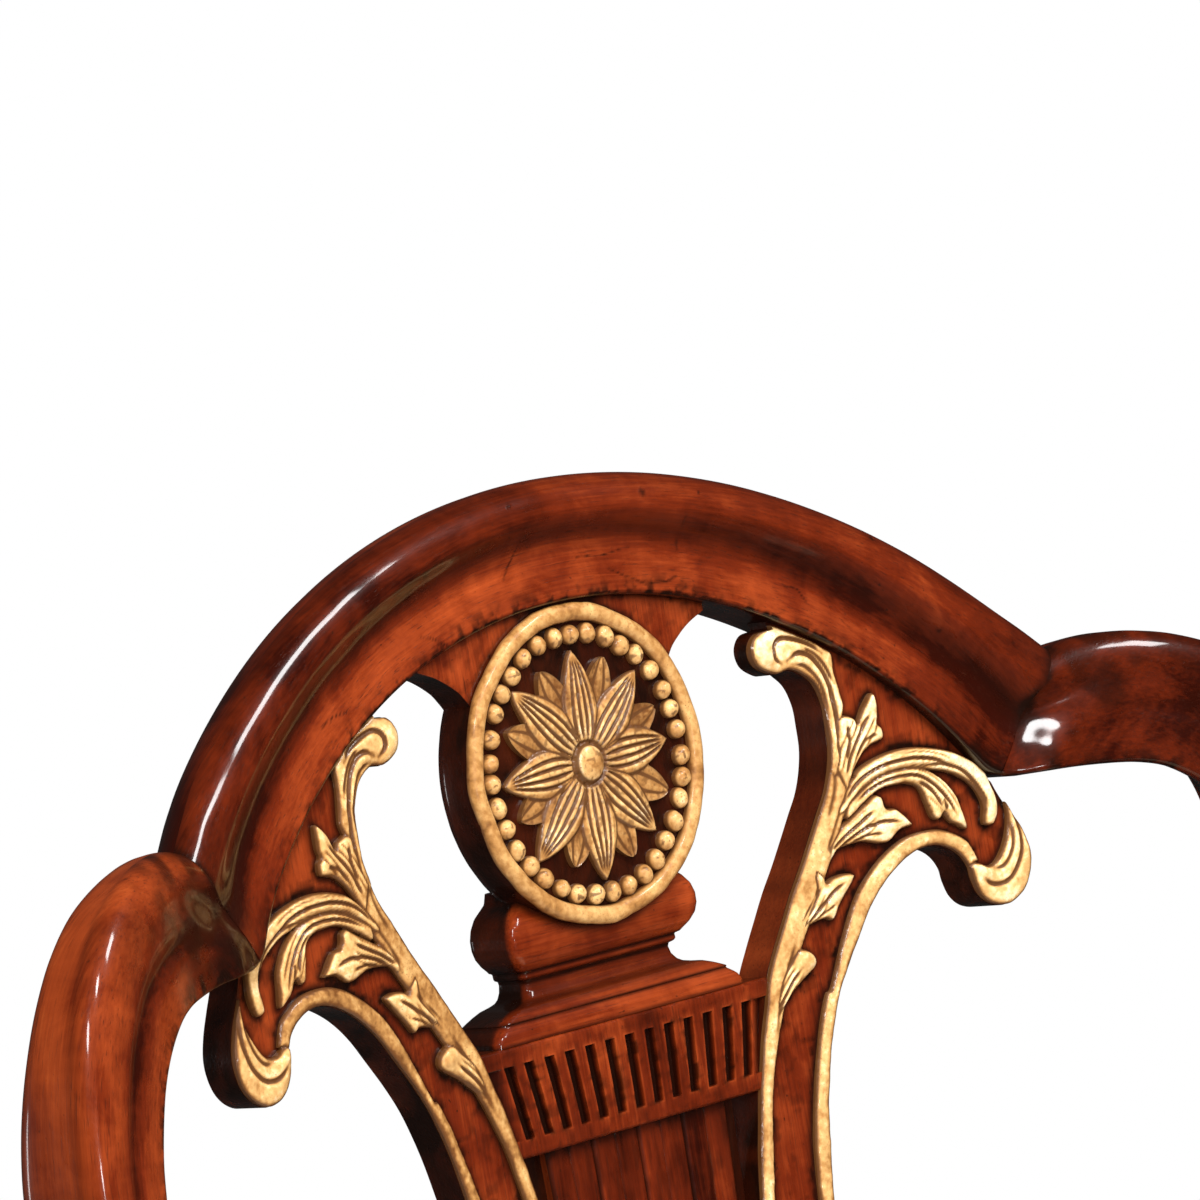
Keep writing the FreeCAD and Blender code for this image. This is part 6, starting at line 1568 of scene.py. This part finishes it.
def cloth(name, light, shade, count, rough=0.85, fuzz=0.25):
    """Plain weave: crossing threads, slubs and a little fading."""
    k = Nodes(name)
    c = k.coords()
    n = []
    for axis, turn in (("X", (0, 0, 0)), ("Y", (0, 0, 0))):
        w = k.new("ShaderNodeTexWave", wave_type="BANDS", bands_direction=axis, wave_profile="SIN")
        k.put(w.inputs["Vector"], k.scaled(c, (count, count, count)))
        w.inputs["Scale"].default_value = 1.0
        w.inputs["Distortion"].default_value = 0.6
        w.inputs["Detail"].default_value = 1.0
        n.append(w.outputs["Fac"])
    check = k.math("MAXIMUM", k.math("MULTIPLY", n[0], k.span(n[1], 0.2, 0.8, 0.55, 1.0, False)), k.math("MULTIPLY", n[1], 0.85))
    slub = k.noise(k.scaled(c, (22, 420, 60)), 1.0, 3.0, 0.6, 0.0)
    fade = k.noise(k.scaled(c, (9, 9, 9)), 1.0, 3.0, 0.55, 0.4)
    f = k.math("ADD", k.math("MULTIPLY", check, 0.45), k.math("MULTIPLY", k.math("ADD", slub, fade), 0.30), clamp=True)
    k.put(k.bsdf.inputs["Base Color"], k.ramp(f, [(0.15, shade), (0.75, light)]))
    k.put(k.bsdf.inputs["Roughness"], k.span(slub, 0.2, 0.8, rough - 0.08, min(rough + 0.08, 1.0), False))
    k.bsdf.inputs["Sheen Weight"].default_value = fuzz
    k.put(k.bsdf.inputs["Normal"], k.bump(check, 0.00022, 0.6, k.bump(slub, 0.0003, 0.35)))
    return k.mat


def nylon(name):
    k = Nodes(name)
    a = k.noise(k.scaled(k.coords(), (400, 400, 400)), 1.0, 3.0, 0.6, 0.0)
    k.put(k.bsdf.inputs["Base Color"], k.ramp(a, [(0.3, (0.045, 0.036, 0.030)), (0.7, (0.075, 0.062, 0.052))]))
    k.put(k.bsdf.inputs["Roughness"], k.span(a, 0.3, 0.7, 0.40, 0.60, False))
    k.put(k.bsdf.inputs["Normal"], k.bump(a, 0.0001, 0.5))
    return k.mat


BEECH_X, BEECH_Y = beech("beech_across", 0), beech("beech_deep", 1)
SCREW = steel("screw_zinc", (0.52, 0.52, 0.50), 0.25)
TACK = steel("tack_blued", (0.10, 0.10, 0.12), 0.5)
SEAT_CLOTH = cloth("seat_linen", (0.60, 0.50, 0.35), (0.36, 0.28, 0.175), 2300.0)
WEB_CLOTH = cloth("webbing_jute", (0.42, 0.31, 0.17), (0.22, 0.15, 0.075), 1500.0, 0.9)
DUST_CLOTH = cloth("dust_cloth_black", (0.045, 0.043, 0.042), (0.016, 0.015, 0.015), 2600.0, 0.9, 0.15)
NYLON = nylon("glide_dark_nylon")


def keep(name, mat, bevel=0.0):
    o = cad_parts[name]
    o.data.materials.clear()
    o.data.materials.append(mat)
    if bevel:
        w = o.modifiers.new("weld", "WELD")
        w.merge_threshold = 0.00002
        bv = o.modifiers.new("worn_edges", "BEVEL")
        bv.width = bevel
        bv.segments = 3
        bv.limit_method = "ANGLE"
        bv.angle_limit = math.radians(28)
        bv.use_clamp_overlap = True
    return o


for name, mat, bv in (("shoe_rail", WOOD_X, 0.0016), ("seat_rail_front", WOOD_X, 0.0014), ("seat_rail_rear", WOOD_X, 0.0012),
                      ("seat_rail_right", WOOD_Y, 0.0014), ("seat_rail_left", WOOD_Y, 0.0014), ("front_leg_right", WOOD_Z, 0.0014), ("front_leg_left", WOOD_Z, 0.0014),
                      ("corner_block_front_right", BEECH_X, 0.0008), ("corner_block_rear_right", BEECH_X, 0.0008),
                      ("corner_block_front_left", BEECH_X, 0.0008), ("corner_block_rear_left", BEECH_X, 0.0008),
                      ("corner_block_screws", SCREW, 0.0), ("arm_support_screws", SCREW, 0.0), ("arm_screws", SCREW, 0.0),
                      ("seat_frame_front", BEECH_X, 0.0008), ("seat_frame_rear", BEECH_X, 0.0008),
                      ("seat_frame_right", BEECH_Y, 0.0008), ("seat_frame_left", BEECH_Y, 0.0008),
                      ("dust_cover_tacks", TACK, 0.0), ("floor_glides", NYLON, 0.0)):
    keep(name, mat, bv)


# ------------------------------------------------------------------ drop-in seat
def seat_outline(inset):
    yf, yr, yn = -289.5 + inset, 135.5 - inset, 119.5 - inset
    half = [(side_x(yf, 12 + inset), yf), (side_x(yn, 12 + inset), yn), (192 - inset, yn), (192 - inset, yr)]
    return np.array([(-half[0][0], half[0][1])] + half + [(-a, b) for a, b in half[:0:-1]], float)


def rounded(poly, radius, steps=6):
    """The outline with its corners rounded."""
    out = []
    n = len(poly)
    for k in range(n):
        p0, p1, p2 = poly[k - 1], poly[k], poly[(k + 1) % n]
        a, b = p0 - p1, p2 - p1
        la, lb = np.linalg.norm(a), np.linalg.norm(b)
        r = min(radius, la * 0.45, lb * 0.45)
        for t in np.linspace(0, 1, steps):
            q0, q1 = p1 + a / la * r * (1 - t), p1 + b / lb * r * t
            out.append((1 - t) * (p1 + a / la * r) * (1 - t) + 2 * t * (1 - t) * p1 + t * t * (p1 + b / lb * r))
    return np.array(out)


SEAT_IN = rounded(seat_outline(2.6), 7.0)


def seat_depth(P):
    return inside_distance_far(P, SEAT_IN)


def inside_distance_far(P, poly):
    best = np.full(len(P), 1e9)
    odd = np.zeros(len(P), bool)
    b_ = np.roll(poly, -1, axis=0)
    for k in range(len(poly)):
        e = b_[k] - poly[k]
        w = P - poly[k]
        t = np.clip((w @ e) / max(e @ e, 1e-12), 0, 1)
        best = np.minimum(best, np.hypot(w[:, 0] - t * e[0], w[:, 1] - t * e[1]))
        if poly[k, 1] != b_[k, 1]:
            cross = (poly[k, 1] > P[:, 1]) != (b_[k, 1] > P[:, 1])
            x = poly[k, 0] + (P[:, 1] - poly[k, 1]) * e[0] / e[1]
            odd ^= cross & (P[:, 0] < x)
    return np.where(odd, best, -best)


def seat_form(low, high, crown, ring_count=34, count=200):
    """A closed padded form over the seat frame: straight sides in the rebate, a rolled edge and a crowned top (mm)."""
    edge = even(SEAT_IN, count, closed=True)
    mid = np.array([0.0, -78.0])
    rows = []
    for z in np.linspace(low, 468.0, 5):
        rows.append((0.0, z))
    for t in np.linspace(0, 1, 10)[1:]:
        g = t * math.pi / 2
        rows.append((16.0 * (1 - math.cos(g)), 468.0 + (high - 468.0) * math.sin(g)))
    rings = []
    for inset, z in rows:
        shrink = 1 - inset / np.maximum(np.linalg.norm(edge - mid, axis=1), 1)[:, None]
        rings.append(np.column_stack([mid + (edge - mid) * shrink, np.full(count, z)]))
    start = rings[-1][:, :2]
    for t in np.linspace(0, 1, ring_count)[1:-1]:
        xy = mid + (start - mid) * (1 - t)
        d = inside_distance_far(xy, SEAT_IN)
        z = high + crown * (1 - np.exp(-np.maximum(d - 16, 0) / 60.0))
        rings.append(np.column_stack([xy, z]))
    return np.array(rings), mid


def seat_mesh(name, low, high, crown):
    rings, mid = seat_form(low, high, crown)
    rows, cols = rings.shape[:2]
    verts = [tuple(v) for v in (rings.reshape(-1, 3) * 1e-3)]
    faces = [tuple(int(x) for x in q) for q in grid_quads(rows, cols, True)]
    top = len(verts)
    verts.append((mid[0] * 1e-3, mid[1] * 1e-3, (high + crown * (1 - math.exp(-3.0))) * 1e-3))
    faces += [((rows - 1) * cols + (k + 1) % cols, (rows - 1) * cols + k, top) for k in range(cols)]
    bot = len(verts)
    verts.append((mid[0] * 1e-3, mid[1] * 1e-3, low * 1e-3))
    faces += [(k, (k + 1) % cols, bot) for k in range(cols)]
    me = bpy.data.meshes.new(name)
    me.from_pydata(verts, [], faces)
    import bmesh
    bm = bmesh.new()
    bm.from_mesh(me)
    bmesh.ops.recalc_face_normals(bm, faces=bm.faces)
    bm.to_mesh(me)
    bm.free()
    me.polygons.foreach_set("use_smooth", np.ones(len(me.polygons), bool))
    ob = bpy.data.objects.new(name, me)
    bpy.context.scene.collection.objects.link(ob)
    return ob


def apply_modifiers(ob):
    dg = bpy.context.evaluated_depsgraph_get()
    me = bpy.data.meshes.new_from_object(ob.evaluated_get(dg))
    ob.modifiers.clear()
    ob.data = me


cushion = seat_mesh("seat_cushion", 471.0, 493.0, 6.0)
rem = cushion.modifiers.new("remesh", "REMESH")
rem.mode = "VOXEL"
rem.voxel_size = 0.0055
apply_modifiers(cushion)
rest = np.empty(len(cushion.data.vertices) * 3, np.float32)
cushion.data.vertices.foreach_get("co", rest)
rest = rest.reshape(-1, 3)
pin = cushion.vertex_groups.new(name="held")
for i, z in enumerate(rest[:, 2]):
    w = float(sstep(0.4775, 0.4715, z))
    if w > 0:
        pin.add([i], w, "REPLACE")
cl = cushion.modifiers.new("cloth", "CLOTH")
st = cl.settings
st.quality = 6
st.mass = 0.3
st.tension_stiffness = 14
st.compression_stiffness = 14
st.shear_stiffness = 5
st.bending_stiffness = 0.6
st.use_pressure = True
st.uniform_pressure_force = 4.0
st.effector_weights.gravity = 0.0
st.vertex_group_mass = "held"
sc = bpy.context.scene
cl.point_cache.frame_start, cl.point_cache.frame_end = 1, 20
for f in range(1, 21):
    sc.frame_set(f)
apply_modifiers(cushion)
sc.frame_set(1)
now = np.empty(len(rest) * 3, np.float32)
cushion.data.vertices.foreach_get("co", now)
now = now.reshape(-1, 3)
move = now - rest
far = np.linalg.norm(move, axis=1)
cap = 0.012
scale = np.where(far > 1e-9, cap * np.tanh(far / cap) / np.maximum(far, 1e-9), 0.0)
move = move * scale[:, None]
side_lock = sstep(0.482, 0.492, rest[:, 2])[:, None]
move[:, :2] *= 0.25 + 0.75 * side_lock
cushion.data.vertices.foreach_set("co", (rest + move).astype(np.float32).ravel())
cushion.data.update()
cushion.vertex_groups.clear()
sub = cushion.modifiers.new("smooth", "SUBSURF")
sub.levels = sub.render_levels = 1
apply_modifiers(cushion)
co = np.empty(len(cushion.data.vertices) * 3, np.float32)
cushion.data.vertices.foreach_get("co", co)
co = co.reshape(-1, 3).astype(float)
d = inside_distance_far(co[:, :2] * 1e3, SEAT_IN)
pull = (vnoise(co * 1e3, 26.0, 201) - 0.5) * 1.0 + (vnoise(co * 1e3 * [1, 1, 0.3], 9.0, 202) - 0.5) * 0.35
co[:, 2] += pull * 1e-3 * sstep(0.484, 0.496, co[:, 2])
gather = np.sin(co[:, 0] * 1e3 / 7.5 + 3 * vnoise(co * 1e3, 40.0, 203)) * sstep(16, 4, d) * sstep(0.472, 0.482, co[:, 2]) * sstep(0.498, 0.486, co[:, 2])
co[:, 2] += gather * 0.00035
cushion.data.vertices.foreach_set("co", co.astype(np.float32).ravel())
cushion.data.polygons.foreach_set("use_smooth", np.ones(len(cushion.data.polygons), bool))
cushion.data.update()
cushion.data.materials.clear()
cushion.data.materials.append(SEAT_CLOTH)
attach(cushion, "seat")
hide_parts("seat_pad", "seat_cover")

# the cover's turned-down skirt beside the frame bars
skirt = Shape()
edge = even(rounded(seat_outline(1.9), 7.0), 420, closed=True)
inn = even(rounded(seat_outline(2.9), 6.5), 420, closed=True)
rings, grs = [], []
for line, z in ((inn, 472.5), (edge, 472.0), (edge, 467.0), (edge, 461.0), (edge, 456.2), (inn, 455.6), (inn, 461.0), (inn, 467.0)):
    ripple = (vnoise(np.column_stack([line, np.full(420, z)]), 15.0, 211) - 0.5) * 0.5
    rings.append(np.column_stack([line, z + ripple]) * 1e-3)
rings = np.array(rings)
m, c = rings.shape[:2]
quads = []
for k in range(m):
    k2 = (k + 1) % m
    j = np.arange(c)
    quads.append(np.stack([k * c + j, k * c + (j + 1) % c, k2 * c + (j + 1) % c, k2 * c + j], 1))
skirt.add(rings.reshape(-1, 3), np.vstack(quads)[:, ::-1])
ob = skirt.object("seat_cover_skirt", SEAT_CLOTH, sharp=60)
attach(ob, "seat")

# woven webbing over the frame
web = Shape()
YF, YR = -286.5 + 14, 132.5 - 14
XS, YS = (-142.0, -47.0, 47.0, 142.0), (-218.0, -132.0, -46.0, 40.0)


def strap(along_y, at, lo, hi, crossings, phase):
    n, m = 160, 9
    t = np.linspace(lo, hi, n)
    lift = np.zeros(n)
    for k, c in enumerate(crossings):
        lift += (1 if (k + phase) % 2 else -1) * np.exp(-((t - c) / 26.0) ** 4)
    z = 471.55 + 0.62 * lift
    across = np.linspace(-25, 25, m)
    loop_c = np.concatenate([across, across[::-1]])
    loop_z = np.concatenate([np.full(m, 0.55), np.full(m, -0.55)])
    pts = np.empty((n, 2 * m, 3))
    if along_y:
        pts[..., 0], pts[..., 1] = at + loop_c[None, :], t[:, None]
    else:
        pts[..., 0], pts[..., 1] = t[:, None], at + loop_c[None, :]
    pts[..., 2] = z[:, None] + loop_z[None, :]
    tube(web, pts * 1e-3, pts * 1e-3)


for i, x in enumerate(XS):
    strap(True, x, YF, YR, YS, i)
for j, y in enumerate(YS):
    half = side_x(y + 25.0, 12 + 3 + 12)
    strap(False, y, -half, half, XS, j + 1)
ob = web.object("seat_webbing_woven", WEB_CLOTH, sharp=50)
bm = bmesh.new()
bm.from_mesh(ob.data)
bmesh.ops.remove_doubles(bm, verts=bm.verts, dist=1e-6)
bm.to_mesh(ob.data)
bm.free()
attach(ob, "seat")
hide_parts("seat_webbing")

# dust cover: a thin cloth tacked under the frame, sagging a little
plain = seat_outline(18.0)
cx0, cy0 = plain[1]
corner = [(cx0 - 36.0, cy0), (side_x(cy0 + 36.0, 30.0), cy0 + 36.0)]
DUST = np.array([(-a, b) for a, b in corner[::-1]] + corner + [tuple(q) for q in plain[2:]], float)
dust = Shape()


def dust_top(P, d):
    far = inside_distance_far(P, DUST)
    sag = 3.2 * (1 - np.exp(-np.maximum(far - 12, 0) / 55.0))
    pucker = 0.30 * np.sin(P[:, 0] / 5.5 + 2 * vnoise(P, 30.0, 222)) * sstep(26, 4, far)
    return 451.9 - sag + pucker * 0.5 + (vnoise(P, 22.0, 221) - 0.5) * 0.3, np.zeros(len(P)), np.zeros(len(P))


def flat_place(u, v, n):
    return np.stack(np.broadcast_arrays(u, v, n), -1) * 1e-3


plate(dust, lambda P: inside_distance_far(P, DUST), dust_top, lambda P: dust_top(P, None)[0] - 0.7, (-262, -274, 262, 120), 6.0,
      lambda P, h: np.column_stack([P, h]) * 1e-3, 0.0, 1, flat_place)
ob = dust.object("seat_dust_cover_cloth", DUST_CLOTH, sharp=60)
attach(ob, "seat")
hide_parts("seat_dust_cover")

# ------------------------------------------------------------------ camera, light, floor
scene = bpy.context.scene
yaw, pitch, roll = 0.782666, 0.215344, -0.00173
v = Vector((math.sin(yaw) * math.cos(pitch), math.cos(yaw) * math.cos(pitch), -math.sin(pitch)))
r = Vector((math.cos(yaw), -math.sin(yaw), 0.0))
u = r.cross(v)
c, s = math.cos(roll), math.sin(roll)
r2, u2 = c * r + s * u, -s * r + c * u
cam_data = bpy.data.cameras.new("camera")
cam_data.sensor_width = 36.0
cam_data.sensor_fit = "AUTO"
cam_data.lens = 6600.0 / 1200.0 * 36.0
cam = bpy.data.objects.new("camera", cam_data)
m = Matrix((r2, u2, -v)).transposed().to_4x4()
m.translation = Vector((-1.46155, MED_Y * 1e-3 - 1.47384, MED_Z * 1e-3 + 0.50801))
cam.matrix_world = m
scene.collection.objects.link(cam)
scene.camera = cam
scene.view_settings.view_transform = "Standard"
scene.view_settings.look = "None"

world = bpy.data.worlds.new("studio")
world.use_nodes = True
scene.world = world
wt = world.node_tree
bg = wt.nodes["Background"]
bg.inputs["Color"].default_value = (1, 1, 1, 1)
bg.inputs["Strength"].default_value = 1.0
soft = wt.nodes.new("ShaderNodeBackground")
soft.inputs["Color"].default_value = (1.0, 0.985, 0.96, 1)
soft.inputs["Strength"].default_value = 0.26
dark = wt.nodes.new("ShaderNodeBackground")
dark.inputs["Color"].default_value = (1.0, 0.98, 0.95, 1)
dark.inputs["Strength"].default_value = 0.03
path = wt.nodes.new("ShaderNodeLightPath")
gloss = wt.nodes.new("ShaderNodeMixShader")
both = wt.nodes.new("ShaderNodeMixShader")
wt.links.new(path.outputs["Is Glossy Ray"], gloss.inputs[0])
wt.links.new(soft.outputs[0], gloss.inputs[1])
wt.links.new(dark.outputs[0], gloss.inputs[2])
wt.links.new(path.outputs["Is Camera Ray"], both.inputs[0])
wt.links.new(gloss.outputs[0], both.inputs[1])
wt.links.new(bg.outputs[0], both.inputs[2])
wt.links.new(both.outputs[0], wt.nodes["World Output"].inputs["Surface"])


def softbox(name, at, look, wide, tall, power, shape="RECTANGLE"):
    d = bpy.data.lights.new(name, "AREA")
    d.shape = shape
    d.size, d.size_y = wide, tall
    d.energy = power
    o = bpy.data.objects.new(name, d)
    o.location = at
    o.rotation_mode = "QUATERNION"
    o.rotation_quaternion = (Vector(look) - Vector(at)).to_track_quat("-Z", "Y")
    scene.collection.objects.link(o)
    return o


AIM = (0.0, 0.2, 0.85)
softbox("streak", (0.44, -0.30, 1.88), (-0.2, 0.25, 1.0), 0.29, 0.20, 5.0)
softbox("behind", (-0.95, 2.05, 0.40), (-0.3, 0.3, 0.85), 0.18, 0.5, 1.6, "ELLIPSE")
softbox("low_front", (-0.63, -1.22, 1.22), (0.24, 0.23, 0.94), 0.16, 0.12, 1.8, "ELLIPSE")
softbox("glint_right", (-0.155, -0.625, 2.115), (0.24, 0.23, 0.94), 0.23, 0.23, 5.0, "ELLIPSE")
softbox("glint_left", (-1.08, -0.70, 2.10), (-0.2, 0.2, 0.8), 0.32, 0.32, 8.0, "ELLIPSE")
for name, at, wide, power in (("key_top", (-0.55, -0.55, 3.0), 0.8, 62), ("key_left", (-2.4, -1.6, 2.3), 0.6, 70),
                              ("fill_front", (-1.3, -2.7, 1.7), 1.4, 76), ("fill_right", (2.2, -2.0, 1.7), 1.6, 7)):
    lamp = softbox(name, at, AIM, wide, wide, power)
    lamp.visible_glossy = False

floor_mesh = bpy.data.meshes.new("floor")
ang = np.linspace(0, 2 * math.pi, 96, endpoint=False)
fv = [(2.2 * math.cos(a), 2.2 * math.sin(a), -0.0005) for a in ang]
floor_mesh.from_pydata(fv, [], [list(range(96))])
floor = bpy.data.objects.new("floor", floor_mesh)
scene.collection.objects.link(floor)
fm = Nodes("floor_pale")
fm.bsdf.inputs["Roughness"].default_value = 0.9
fm.bsdf.inputs["Base Color"].default_value = (0.80, 0.80, 0.80, 1)
fm.bsdf.inputs["Emission Color"].default_value = (1, 1, 1, 1)
fm.bsdf.inputs["Emission Strength"].default_value = 0.45
floor_mesh.materials.append(fm.mat)
floor.visible_glossy = False
